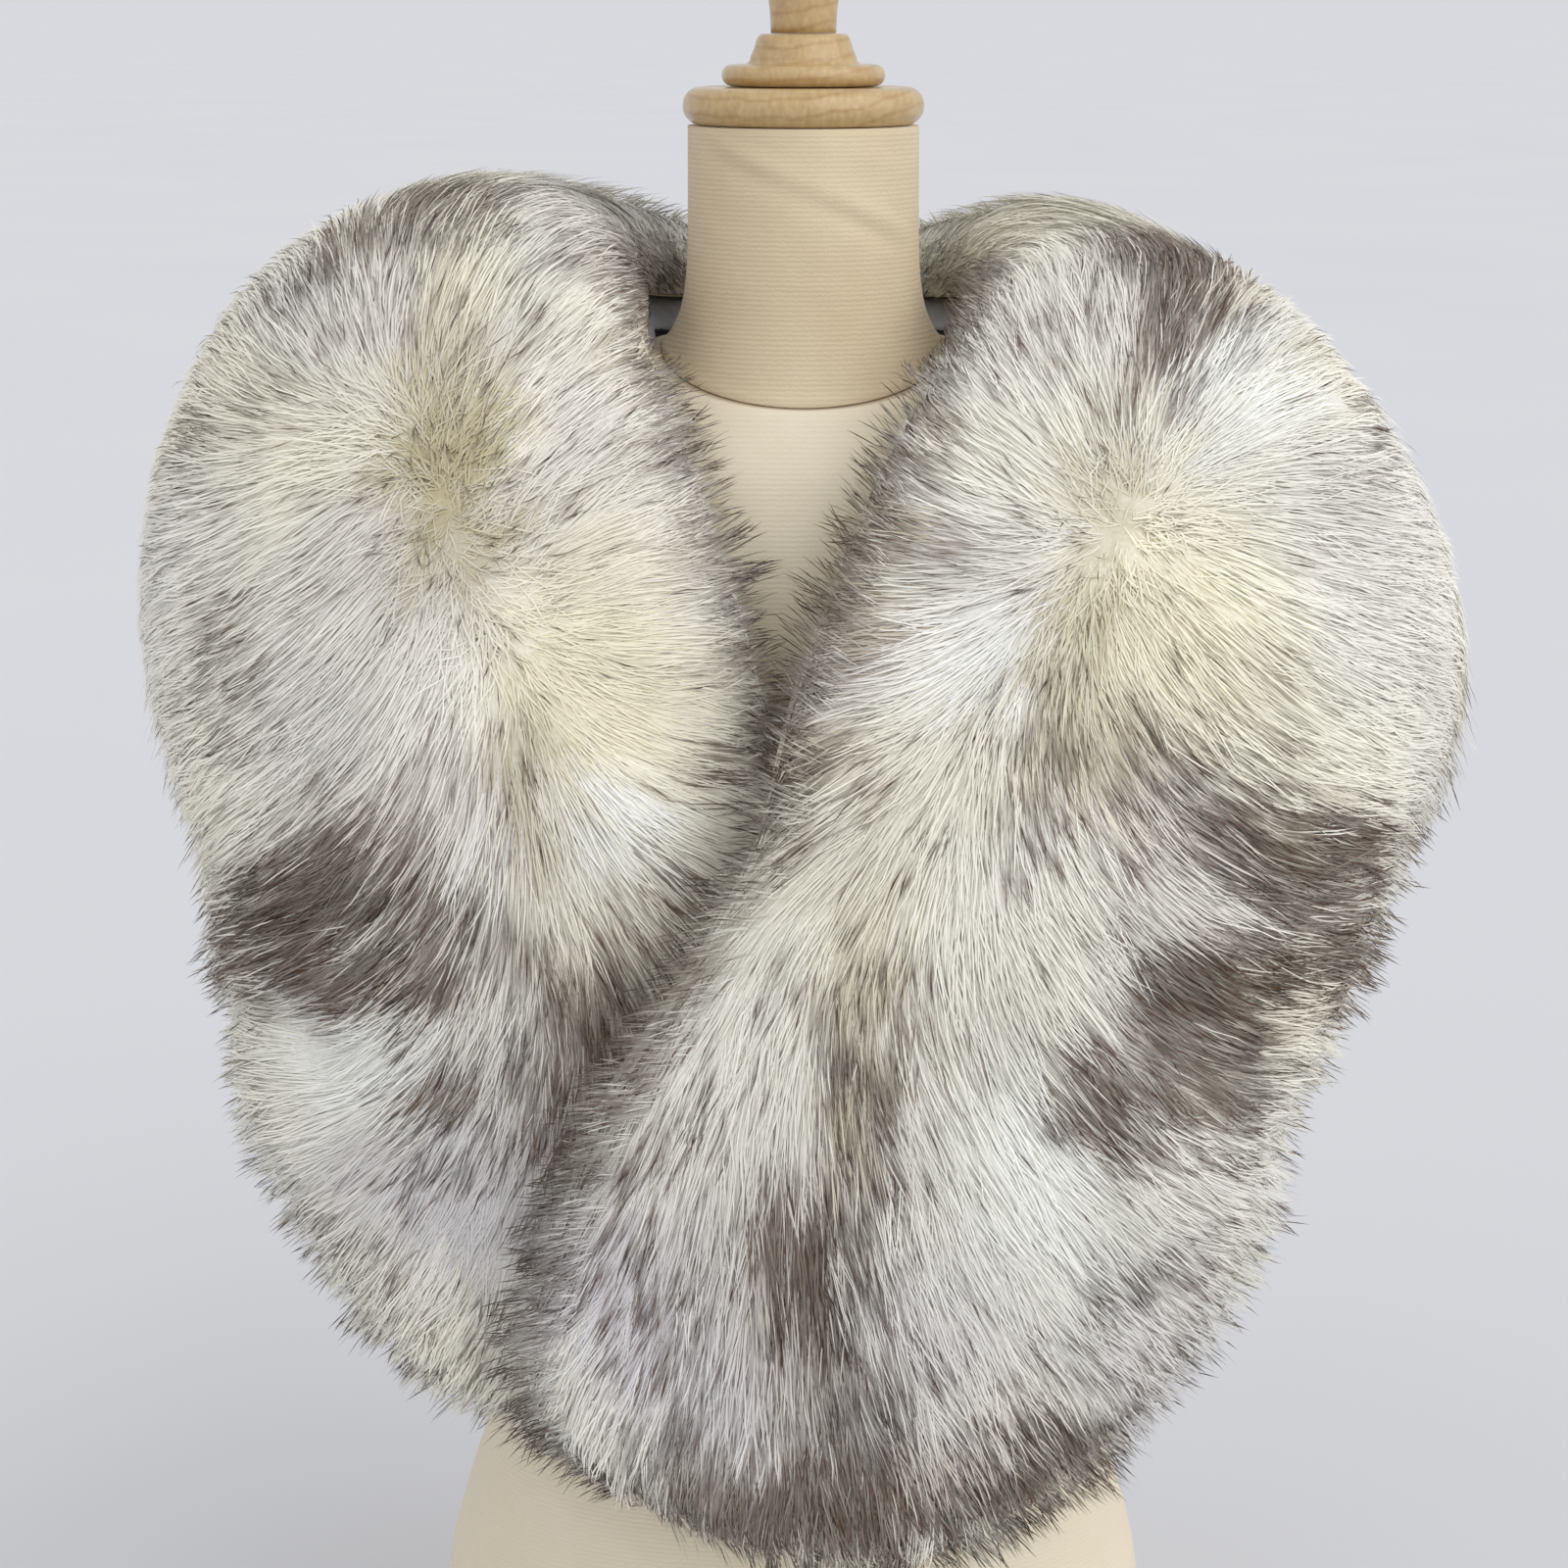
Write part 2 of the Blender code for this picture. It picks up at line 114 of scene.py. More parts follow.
# How the hair is combed on the front: places in the photo, in pixels from its left and its top,
# # and the way the hair lies there, in degrees from the viewer's right.
COMBED = {
    -1: (
        (430, 210, 92), (520, 205, 50), (600, 225, 20), (340, 255, 118), (250, 320, 145), (200, 390, 172),
        (480, 300, 65), (560, 300, 28), (630, 310, 3), (280, 350, 122), (370, 345, 112), (430, 330, 85),
        (470, 390, 58), (540, 370, 45), (610, 380, 18), (660, 420, 8), (300, 430, 185), (350, 470, 208),
        (210, 450, 184), (175, 520, 195), (410, 480, 218), (480, 460, 45), (560, 460, 40), (640, 470, 28),
        (690, 510, 8), (240, 540, 207), (330, 550, 217), (420, 560, 237), (500, 530, 40), (580, 540, 35),
        (660, 550, 14), (715, 590, 2), (190, 610, 212), (290, 630, 217), (390, 640, 228), (470, 630, 240),
        (540, 605, 38), (610, 610, 24), (690, 620, 3), (740, 670, 0), (175, 700, 214), (260, 710, 217),
        (350, 720, 222), (440, 720, 232), (500, 700, 250), (530, 700, 268), (580, 655, 22), (650, 670, 6),
        (585, 705, 318), (650, 720, 355), (730, 740, 357), (210, 790, 221), (310, 800, 222), (400, 800, 228),
        (470, 790, 244), (530, 790, 270), (580, 800, 290), (625, 780, 335), (700, 800, 352), (630, 850, 320),
        (700, 870, 338), (745, 850, 352), (230, 870, 223), (320, 880, 221), (410, 890, 226), (475, 890, 244),
        (530, 890, 269), (580, 900, 284), (640, 920, 310), (700, 940, 320), (250, 950, 222), (330, 960, 206),
        (410, 970, 222), (480, 980, 245), (530, 1000, 266), (590, 1000, 276), (640, 980, 292),
        (280, 1010, 192), (360, 1010, 194), (280, 1060, 180), (350, 1065, 184), (410, 1060, 204),
        (460, 1080, 230), (300, 1120, 190), (360, 1140, 212), (430, 1150, 234), (490, 1140, 250),
        (540, 1110, 268), (590, 1100, 268), (320, 1190, 222), (390, 1240, 236), (450, 1230, 243),
        (500, 1240, 253), (545, 1200, 265), (370, 1290, 230), (430, 1310, 238), (490, 1330, 244),
        (535, 1300, 255), (500, 1390, 240),
    ),
    1: (
        (1130, 215, 105), (1060, 215, 112), (1000, 240, 140), (1080, 280, 92), (1150, 270, 82),
        (1230, 270, 62), (1290, 300, 42), (1330, 350, 12), (965, 350, 138), (1030, 340, 122),
        (1090, 350, 100), (1150, 350, 88), (1200, 330, 80), (1240, 360, 50), (1300, 400, 2),
        (1370, 440, 350), (950, 420, 145), (1020, 420, 132), (1080, 430, 135), (1130, 430, 112),
        (1180, 430, 92), (1230, 440, 15), (910, 480, 152), (980, 480, 145), (1050, 480, 155),
        (1110, 490, 150), (1220, 500, 352), (1300, 500, 349), (1390, 520, 346), (1450, 560, 344),
        (880, 540, 158), (950, 540, 153), (1020, 540, 170), (1080, 550, 185), (1180, 560, 322),
        (1250, 570, 334), (1340, 590, 336), (860, 610, 173), (930, 610, 173), (1000, 610, 182),
        (1050, 620, 220), (1090, 640, 260), (1140, 640, 292), (1190, 640, 312), (1260, 650, 322),
        (1340, 660, 331), (1430, 660, 338), (830, 690, 182), (900, 690, 184), (970, 690, 191),
        (1025, 710, 228), (1080, 720, 280), (1140, 720, 300), (1210, 730, 316), (1290, 740, 325),
        (1380, 740, 333), (1460, 740, 336), (805, 760, 184), (880, 760, 190), (940, 760, 214),
        (985, 760, 257), (1040, 770, 292), (1110, 800, 308), (1190, 800, 318), (1280, 810, 334),
        (1380, 820, 339), (800, 830, 205), (860, 830, 208), (920, 840, 228), (980, 850, 262),
        (1040, 860, 292), (1110, 880, 310), (1190, 880, 320), (1270, 880, 338), (1370, 890, 344),
        (770, 910, 224), (840, 910, 228), (910, 920, 246), (975, 930, 274), (1040, 940, 295),
        (1110, 950, 311), (1190, 950, 323), (1270, 960, 336), (1350, 970, 344), (720, 970, 233),
        (790, 990, 252), (860, 1000, 267), (930, 1010, 276), (1000, 1020, 294), (1080, 1030, 310),
        (1160, 1030, 318), (1240, 1050, 334), (1320, 1060, 345), (650, 1070, 232), (710, 1090, 246),
        (780, 1100, 266), (850, 1110, 280), (930, 1120, 290), (1010, 1120, 301), (1090, 1120, 312),
        (1170, 1120, 319), (1250, 1130, 334), (1300, 1140, 340), (605, 1190, 232), (670, 1200, 250),
        (740, 1210, 262), (820, 1220, 273), (900, 1230, 284), (980, 1230, 295), (1060, 1230, 306),
        (1140, 1230, 314), (1230, 1230, 322), (570, 1300, 233), (640, 1310, 252), (720, 1320, 263),
        (800, 1330, 272), (880, 1340, 283), (960, 1340, 292), (1040, 1340, 302), (1120, 1330, 310),
        (1190, 1330, 314), (580, 1400, 232), (650, 1420, 246), (730, 1430, 260), (810, 1440, 272),
        (890, 1450, 284), (970, 1440, 290), (1050, 1430, 300), (1130, 1410, 307), (660, 1500, 248),
        (740, 1530, 263), (820, 1550, 274), (900, 1550, 282), (980, 1530, 289), (1060, 1490, 297),
    ),
}
# The grid on which the listed places are found, and how near to the nearest, in pixels, the foremost may lie.
COMB_STATIONS = 260
COMB_ANGLES = 120
COMB_NEAR = 6.0
COMB_REACH = 27.0
COMB_FAR_REACH = 90.0
BACK_STATIONS = (0.0, 0.7, 1.4, 2.1, 2.8, 3.5, 4.1)
BACK_ROWS = ((0.06, -1), (0.16, -1), (0.28, -1), (0.40, 1), (0.52, 1), (0.66, 1), (0.80, 1), (0.93, 1))

# Markings of the coat, by half, front or back, and kind: centre, half length and half width in millimetres,
# turn in degrees and strength.
MARK_COLUMNS = ("x", "z", "long", "wide", "turn", "strength")
MARKINGS = {
    (-1, "front", "dark"): (
        (-202, 474, 52, 24, 38, 0.72), (-172, 466, 34, 26, 40, 0.74), (-175, 430, 44, 9, 10, 1.0),
        (-228, 448, 34, 24, 30, 0.85), (-152, 386, 30, 10, 50, 0.6), (-90, 400, 22, 50, -8, 0.62),
        # The rows at (-40, 470), (-72, 408) and (-22, 522) run along the lap's crevice: partly dark-tipped
        # hair, partly painted shade.
        (-82, 362, 14, 30, 0, 0.9), (-40, 470, 46, 8, 62, 0.7), (-72, 408, 40, 9, 65, 0.8),
        (-22, 522, 18, 10, 60, 0.9), (-174, 748, 42, 11, 10, 0.6),
    ),
    (1, "front", "dark"): (
        (-12, 520, 9, 22, -20, 0.8), (202, 494, 60, 14, -12, 0.8), (236, 478, 36, 14, -6, 0.85),
        (191, 440, 44, 19, 0, 1.0), (228, 437, 34, 18, 0, 1.0), (116, 408, 20, 10, -40, 0.8),
        (130, 382, 16, 11, -40, 0.75), (176, 402, 32, 22, -20, 0.7), (22, 384, 12, 30, -4, 0.6),
        (-3, 314, 22, 38, 0, 0.95), (14, 262, 20, 30, 10, 0.6), (44, 219, 96, 26, 8, 0.85),
        (170, 724, 38, 17, -30, 0.75), (152, 698, 9, 22, 0, 0.8),
    ),
    (-1, "front", "ticks"): (
        (-118, 488, 22, 52, -6, 1.0), (-104, 425, 34, 40, 0, 0.9), (-148, 655, 32, 52, 0, 1.0),
        (-224, 690, 46, 20, 40, 0.6), (-168, 738, 44, 16, 8, 0.5), (-252, 570, 20, 60, 0, 0.6),
        (-176, 300, 60, 22, -38, 0.9), (-156, 335, 46, 46, 0, 0.8),
    ),
    (-1, "front", "khaki"): (
        (-116, 500, 12, 40, -5, 0.6), (-146, 650, 26, 48, 0, 0.95),
    ),
    (1, "front", "ticks"): (
        (168, 386, 48, 34, -20, 0.9), (111, 694, 54, 24, 0, 0.6), (34, 612, 26, 60, -22, 0.6),
        (16, 555, 24, 40, -20, 0.6), (125, 632, 36, 28, 0, 0.8), (94, 575, 22, 46, 0, 0.9),
        (112, 538, 38, 26, 0, 1.0), (62, 505, 34, 30, 0, 0.55), (22, 446, 28, 40, 0, 0.9),
        (-70, 375, 24, 60, -28, 0.8), (144, 300, 40, 30, -45, 0.6), (-76, 308, 30, 50, 0, 0.8),
        (30, 262, 110, 36, 6, 0.8),
    ),
    (1, "front", "khaki"): (
        (112, 538, 30, 22, 0, 0.45), (22, 446, 14, 34, 0, 0.55), (22, 387, 12, 32, 0, 0.6),
        (126, 641, 20, 20, 0, 0.55), (107, 575, 18, 32, 0, 0.55),
    ),
    (1, "front", "grey"): ((-49, 239, 30, 16, -20, 0.7),),
    (-1, "front", "cream"): (
        (-80, 560, 42, 75, 0, 0.8), (-150, 640, 60, 70, 0, 0.35),
    ),
    (1, "front", "cream"): ((150, 575, 48, 66, 0, 0.6),),
    (1, "front", "white"): (
        (191, 683, 27, 22, 0, 0.9), (63, 571, 20, 20, 0, 0.8), (103, 364, 30, 38, 0, 0.7),
    ),
    (-1, "front", "white"): (
        (-69, 497, 22, 18, 0, 0.8), (-135, 482, 12, 22, 0, 0.6), (-194, 389, 28, 18, 0, 0.9),
    ),
    (1, "front", "lilac"): (
        (-80, 300, 24, 34, 0, 0.7), (31, 270, 100, 44, 0, 0.5),
    ),
    (-1, "front", "lilac"): ((-162, 324, 50, 38, 0, 0.5),),
    # The brown rows run along the inner edges at the V and along the lap: partly brown fur, partly painted
    # shade of the crevice.
    (-1, "front", "brown"): (
        (-60, 687, 46, 9, -70, 0.5), (-34, 600, 60, 9, -72, 0.3),
    ),
    (1, "front", "brown"): (
        (20, 618, 98, 12, 70, 0.62), (-57, 447, 112, 9, 63, 0.4),
    ),
    (-1, "back", "ticks"): (
        (-215, 640, 60, 60, 0, 0.7), (-120, 520, 80, 34, 0, 0.5),
    ),
    (1, "back", "ticks"): (
        (215, 640, 60, 60, 0, 0.7), (120, 530, 80, 34, 0, 0.5),
    ),
    (-1, "back", "dark"): (
        (-150, 560, 42, 16, -35, 0.7), (-62, 492, 34, 13, -60, 0.65), (-232, 560, 26, 14, -60, 0.6),
    ),
    (-1, "back", "khaki"): ((-95, 640, 50, 18, 5, 0.6),),
    (-1, "back", "cream"): ((-95, 590, 45, 30, 0, 0.7),),
    (-1, "back", "grey"): ((-110, 445, 70, 14, -8, 0.5),),
    (1, "back", "dark"): (
        (132, 540, 44, 15, 38, 0.7), (48, 556, 24, 12, 70, 0.55), (225, 540, 26, 15, 60, 0.65),
    ),
    (1, "back", "khaki"): ((85, 642, 50, 18, -5, 0.6),),
    (1, "back", "cream"): ((90, 596, 45, 30, 0, 0.7),),
    (1, "back", "grey"): ((105, 448, 70, 14, 8, 0.5),),
}
# How sharp a marking's edge is, and how fast it fades.
MARK_POWER = 1.5
MARK_FADE = 0.55
# How far the coat's shafts turn brown in the dark markings, and cream or lilac in soft clouds.
BROWN_IN_DARK = 0.45
CREAM_CLOUDS = 0.30
LILAC_CLOUDS = 0.35
# Where along the pelt the back's markings give way to the front's, and where the collar ends.
SHOULDER_STATION = 4.2
COLLAR_STATION = 4.4

# Layers of hair on one half: hairs, steps along each, length, where they start and end in the pile's depth,
# width, how far the locks pull them together, share with dark tips, waviness, how far they may reach past the
# pelt's edge, how far they stay straight, and how many grid steps they keep from the edge. Lengths and widths
# in millimetres.
LAYER_COLUMNS = ("name", "hairs", "steps", "length", "starts", "ends", "width", "lock_pull", "dark_share",
                 "wave", "spill", "straight", "edge")
LAYERS = (
    ("wool", 22000, (0.0, 0.5, 1.0), 26.0, 0.93, 0.985, 1.05, 0.18, 0.02, 0.6, 3.0, 0.04, 2.0),
    ("coat", 54500, (0.0, 0.5, 1.0), 40.0, 0.945, 1.00, 0.78, 0.36, 0.08, 0.45, 5.0, 0.10, 4.0),
    ("guard", 32000, (0.0, 0.54, 0.80, 1.0), 50.0, 0.955, 1.02, 0.54, 0.46, 0.42, 0.45, 6.0, 0.36, 7.0),
)
# The hair stays this far out beside the neck, on the left and on the right, above "low" and before "behind".
NECK_PARTING = {-1: 67.0, 1: 60.0, "low": 680.0, "behind": 34.0}
# The fringe: where in 0 to 1 the inner edge's hairs stop and the front end's begin, how far in its hairs
# start, in grid steps, and the share of dark tips beside the neck, on the inner edge, the end and the rest.
FRINGE_HAIRS = 10400
FRINGE_LENGTH = 25.0
FRINGE_WIDTH = 0.48
FRINGE_INNER_TO = 0.52
FRINGE_END_FROM = 0.93
FRINGE_INSET = 0.6
FRINGE_INNER_SPREAD = 15.0
FRINGE_OUTER_SPREAD = 22.0
FRINGE_DARK = (0.35, 0.55, 0.50, 0.30)
FRINGE_STEPS = (0.0, 0.42, 0.76, 1.0)
FRINGE_INK = (0.0, 0.55, 1.0, 1.0)
FRINGE_SAG = 3.0
TAPERS = {3: (0.8, 0.9), 4: (0.6, 0.9, 1.05)}
LOCKS = 6500
# How far a whole lock decides whether its hairs have dark tips.
LOCK_SHARE = 0.55
# The undercoat: how high it stands in the pile, how rough its face is, and how much painted shade darkens it.
UNDERCOAT_TOP = 0.95
UNDERCOAT_ROUGH = 0.02
UNDERCOAT_SHADE = 0.92
RIM_SHADE = 0.28
# How far the undercoat's back and the leather's front lie behind the sheet, and how thick the leather is.
UNDERCOAT_BACK = PELT_BACK - 1.6
LEATHER_FRONT = PELT_BACK - 1.3
LEATHER_THICK = 1.0


def srgb(code):
    """A hex colour as linear values."""
    values = []
    for k in (1, 3, 5):
        c = int(code[k:k + 2], 16) / 255.0
        values.append(c / 12.92 if c <= 0.04045 else ((c + 0.055) / 1.055) ** 2.4)
    return (*values, 1.0)


COAT_COLOURS = {
    "ground": "#F0EEE3",
    "cream": "#F2ECD4",
    "khaki": "#C2B795",
    "white": "#FAFBF7",
    "lilac": "#E0DCDE",
    # Brown of dark fur; along the inner edges and the lap it also stands for painted shade.
    "brown": "#94805F",
}


def add_node(tree, kind, settings=None, stops=(), **links):
    """Adds a node, or takes the one that is given, and sets its properties, values and ramp stops. It links
    (node, output) pairs to the inputs named, with _ for a space, or numbered after i_."""
    node = tree.nodes.new(kind) if isinstance(kind, str) else kind
    for name, value in (settings or {}).items():
        if isinstance(name, str) and hasattr(node, name) and name not in node.inputs:
            setattr(node, name, value)
        else:
            node.inputs[name].default_value = value
    for _ in stops[2:]:
        node.color_ramp.elements.new(0.5)
    for element, (place, colour) in zip(node.color_ramp.elements if stops else (), stops):
        element.position = place
        element.color = srgb(colour) if isinstance(colour, str) else colour
    for name, (source, output) in links.items():
        key = int(name[2:]) if name.startswith("i_") else name.replace("_", " ")
        tree.links.new(source.outputs[output], node.inputs[key])
    return node


def new_material(name):
    """A material, a function that adds nodes to it, and its shader."""
    material = bpy.data.materials.new(name)
    material.use_nodes = True
    return material, partial(add_node, material.node_tree), material.node_tree.nodes["Principled BSDF"]


HAIR_ROUGHNESS = {"wool": 0.8, "coat": 0.65, "guard": 0.55}
COLOUR_MIX = {"data_type": "RGBA", "clamp_factor": True}
MULTIPLY = {"data_type": "RGBA", "blend_type": "MULTIPLY", 0: 1.0}
WHITE = (1.0, 1.0, 1.0, 1.0)


def hair_material(name, roughness):
    """Fox hair: pale shafts with a soft gloss along them, and brown ink towards the tip where it has any."""
    material, add, shader = new_material(name)
    coat = add("ShaderNodeAttribute", {"attribute_name": "coat"})
    ink = add("ShaderNodeAttribute", {"attribute_name": "ink"})
    place = add("ShaderNodeTexCoord")
    patch = add("ShaderNodeTexNoise", {"Scale": 28.0, "Detail": 2.0}, Vector=(place, "Object"))
    brown = add("ShaderNodeValToRGB", stops=((0.35, "#331D12"), (0.65, "#58402F")), Fac=(patch, "Fac"))
    mixed = add("ShaderNodeMix", COLOUR_MIX, i_0=(ink, "Fac"), i_6=(coat, "Color"), i_7=(brown, "Color"))
    add(shader, {"Roughness": roughness, "IOR": 1.55, "Specular IOR Level": 0.08}, Base_Color=(mixed, 2))
    return material


def wool_material():
    """The dense undercoat that the hair stands in: matt, with fine darker partings."""
    material, add, shader = new_material("fox_undercoat")
    coat = add("ShaderNodeAttribute", {"attribute_name": "coat"})
    # The ink holds the dark markings and, along the rims, painted shade.
    ink = add("ShaderNodeAttribute", {"attribute_name": "ink"})
    place = add("ShaderNodeTexCoord")
    fine = add("ShaderNodeTexNoise", {"Scale": 420.0, "Detail": 3.0}, Vector=(place, "Object"))
    mixed = add("ShaderNodeMix", {**COLOUR_MIX, 7: srgb("#553D2D")}, i_0=(ink, "Fac"), i_6=(coat, "Color"))
    shade = add("ShaderNodeValToRGB", stops=((0.3, (0.90, 0.89, 0.87, 1.0)), (0.6, WHITE)), Fac=(fine, "Fac"))
    times = add("ShaderNodeMix", MULTIPLY, i_6=(mixed, 2), i_7=(shade, "Color"))
    bump = add("ShaderNodeBump", {"Strength": 0.4, "Distance": 0.001}, Height=(fine, "Fac"))
    add(shader, {"Roughness": 0.9}, Base_Color=(times, 2), Normal=(bump, "Normal"))
    return material


def leather_material():
    """The skin side of the pelt: pale dressed leather, matt and slightly mottled."""
    material, add, shader = new_material("dressed_pelt_leather")
    place = add("ShaderNodeTexCoord")
    mottle = add("ShaderNodeTexNoise", {"Scale": 60.0, "Detail": 4.0}, Vector=(place, "Object"))
    colour = add("ShaderNodeValToRGB", stops=((0.3, "#C9B79A"), (0.7, "#E2D6C0")), Fac=(mottle, "Fac"))
    add(shader, {"Roughness": 0.7}, Base_Color=(colour, "Color"))
    return material


def satin_material():
    """Polyester satin: smooth floats that give a broad soft gloss, with a fine twill line."""
    material, add, shader = new_material("woven_satin_lining")
    place = add("ShaderNodeTexCoord")
    threads = add("ShaderNodeTexWave", {"Scale": 260.0, "Distortion": 0.6, "Detail": 1.0},
                  Vector=(place, "Object"))
    cloud = add("ShaderNodeTexNoise", {"Scale": 30.0, "Detail": 3.0}, Vector=(place, "Object"))
    # The grey is partly the satin's own and partly painted shade of the gaps beside the neck, where it shows.
    colour = add("ShaderNodeValToRGB", stops=((0.3, "#888B91"), (0.7, "#9EA1A7")), Fac=(cloud, "Fac"))
    bump = add("ShaderNodeBump", {"Strength": 0.12, "Distance": 0.0004}, Height=(threads, "Fac"))
    add(shader, {"Roughness": 0.38, "Sheen Weight": 0.2}, Base_Color=(colour, "Color"),
        Normal=(bump, "Normal"))
    return material


def canvas_material(name, rib, tints):
    """Unbleached cotton canvas stretched over the form: matt, ribbed across, a little yellowed and marked.
    The real ribs are 1.6 mm apart and are drawn a little coarser so that they show."""
    material, add, shader = new_material(name)
    place = add("ShaderNodeTexCoord")
    ribs = add("ShaderNodeTexWave", {"bands_direction": "Z", "Scale": 150.0, "Distortion": 3.2, "Detail": 3.0,
                                     "Detail Scale": 3.5}, Vector=(place, "Object"))
    slub = add("ShaderNodeTexNoise", {"Scale": 900.0, "Detail": 2.0}, Vector=(place, "Object"))
    stain = add("ShaderNodeTexNoise", {"Scale": 16.0, "Detail": 4.0}, Vector=(place, "Object"))
    ground = add("ShaderNodeValToRGB", stops=tuple(zip((0.30, 0.52, 0.72), tints)), Fac=(stain, "Fac"))
    weave = add("ShaderNodeValToRGB", stops=((0.0, (rib, rib * 0.99, rib * 0.97, 1.0)), (0.7, WHITE)),
                Fac=(ribs, "Fac"))
    times = add("ShaderNodeMix", MULTIPLY, i_6=(ground, "Color"), i_7=(weave, "Color"))
    seam = add("ShaderNodeAttribute", {"attribute_name": "seam"})
    sewn = add("ShaderNodeMix", {**COLOUR_MIX, 7: srgb("#957A5C")}, i_0=(seam, "Fac"), i_6=(times, 2))
    height = add("ShaderNodeMath", {"operation": "ADD"}, i_0=(ribs, "Fac"), i_1=(slub, "Fac"))
    bump = add("ShaderNodeBump", {"Strength": 0.35, "Distance": 0.0003}, Height=(height, "Value"))
    add(shader, {"Roughness": 0.85, "Sheen Weight": 0.15}, Base_Color=(sewn, 2), Normal=(bump, "Normal"))
    return material


def wood_material():
    """Turned birch under clear varnish: pale honey, faint long grain, and a crisp gloss from the coat."""
    material, add, shader = new_material("varnished_turned_birch")
    place = add("ShaderNodeTexCoord")
    turned = add("ShaderNodeMapping", {"Location": (0.021, 0.16, -0.79), "Scale": (1.0, 0.16, 0.55)},
                 Vector=(place, "Object"))
    rings = add("ShaderNodeTexWave", {"wave_type": "RINGS", "rings_direction": "Y", "Scale": 78.0,
                                      "Distortion": 2.4, "Detail": 2.0, "Detail Scale": 1.0},
                Vector=(turned, "Vector"))
    pores = add("ShaderNodeTexNoise", {"Scale": 420.0, "Detail": 3.0}, Vector=(turned, "Vector"))
    line = add("ShaderNodeValToRGB", Fac=(rings, "Fac"),
               stops=((0.0, (0.82, 0.73, 0.60, 1.0)), (0.22, (0.98, 0.96, 0.94, 1.0)), (1.0, WHITE)))
    ground = add("ShaderNodeValToRGB", stops=((0.3, "#B39566"), (0.7, "#C4A977")), Fac=(pores, "Fac"))
    times = add("ShaderNodeMix", {**MULTIPLY, 0: 0.75}, i_6=(ground, "Color"), i_7=(line, "Color"))
    add(shader, {"Roughness": 0.42, "Coat Weight": 0.6, "Coat Roughness": 0.12}, Base_Color=(times, 2))
    return material


# Form of the pile.


def smooth_step(x):
    x = np.clip(x, 0.0, 1.0)
    return x * x * (3.0 - 2.0 * x)


def spline(p0, p1, p2, p3, s):
    """A Catmull-Rom curve between p1 and p2."""
    return p1 + 0.5 * s * (p2 - p0 + s * (2 * p0 - 5 * p1 + 4 * p2 - p3 + s * (3 * (p1 - p2) + p3 - p0)))


def table_at(rows, u):
    """Rows of a table joined by a spline and read at u. The first row is a line of symmetry."""
    table = np.array(rows, dtype=float)
    before = table[1].copy()
    before[[0, 3, 6]] *= -1.0
    after = 2.0 * table[-1] - table[-2]
    table = np.vstack([before, table, after])
    i = np.clip(np.floor(u).astype(int), 0, len(rows) - 2)
    s = (u - i)[:, None]
    return spline(*(table[i + k] for k in range(4)), s)


def sheet_points(rows, u, t):
    row = table_at(rows, u)
    inner, middle, outer = row[:, None, 0:3], row[:, None, 3:6], row[:, None, 6:9]
    pull = 2.0 * middle - 0.5 * (inner + outer)
    t = t[None, :, None]
    return (1 - t) ** 2 * inner + 2 * t * (1 - t) * pull + t ** 2 * outer


def sheet_frame(rows, side, u, t):
    """The pelt's sheet in millimetres, and its normals away from the body."""
    points = sheet_points(rows, u, t)
    step = 0.02
    ahead = np.minimum(u + step, len(rows) - 1.0)
    along = sheet_points(rows, ahead, t) - sheet_points(rows, ahead - 2 * step, t)
    across = sheet_points(rows, u, t + step) - sheet_points(rows, u, t - step)
    normals = np.cross(along, across) * side
    normals[u == 0.0, :, 0] = 0.0
    normals /= np.linalg.norm(normals, axis=2, keepdims=True)
    return points, normals


def fold_depth(side, sheet):
    total = np.zeros(sheet.shape[:2])
    seen = sheet[..., (0, 2)]
    in_front = smooth_step(-sheet[..., 1] / FOLD_FRONT)
    for values in FOLDS:
        fold = dict(zip(FOLD_COLUMNS, values))
        if fold["side"] != side:
            continue
        start = np.array((fold["from_x"], fold["from_z"]), dtype=float)
        line = np.array((fold["to_x"], fold["to_z"])) - start
        share = np.clip(((seen - start) @ line) / (line @ line), 0.0, 1.0)
        away = np.linalg.norm(seen - start - share[..., None] * line, axis=2)
        total += fold["deep"] * np.exp(-(away / fold["wide"]) ** 2) * in_front
    return total


def end_taper(rows, u):
    x = np.clip((u - len(rows) + 1.0 + END_LENGTH) / (END_LENGTH * END_BLUNTNESS), 0.0, 1.0)
    return np.sqrt(1.0 - x ** END_ROUNDING)


def section_rounding(t):
    return (1.0 - np.abs(1.0 - 2.0 * t) ** PILE_ROUNDING) ** (1.0 / PILE_ROUNDING)


def pile_depth(rows, side, u, t, sheet):
    row = table_at(rows, u)
    near_in = smooth_step(1.0 - 2.0 * t)[None, :]
    near_out = smooth_step(2.0 * t - 1.0)[None, :]
    columns = [SECTION_COLUMNS.index(name) for name in ("deep_in", "deep_mid", "deep_out")]
    deep_in, deep_mid, deep_out = (row[:, [k]] for k in columns)
    deep = deep_in * near_in + deep_mid * (1.0 - near_in - near_out) + deep_out * near_out
    return (deep - fold_depth(side, sheet)) * section_rounding(t)[None, :] * end_taper(rows, u)[:, None]


def seen_in_photo(points):
    """Where points in millimetres lie in the photo, in pixels from its left and its top."""
    x, y, z = (points[..., k] * MM - CAMERA_PLACE[k] for k in range(3))
    drop = math.atan(CAMERA_DROP / PHOTO_FOCAL)
    deep = y * math.cos(drop) - z * math.sin(drop)
    high = y * math.sin(drop) + z * math.cos(drop)
    return PHOTO_HALF + PHOTO_FOCAL * x / deep, PHOTO_HALF - PHOTO_FOCAL * high / deep


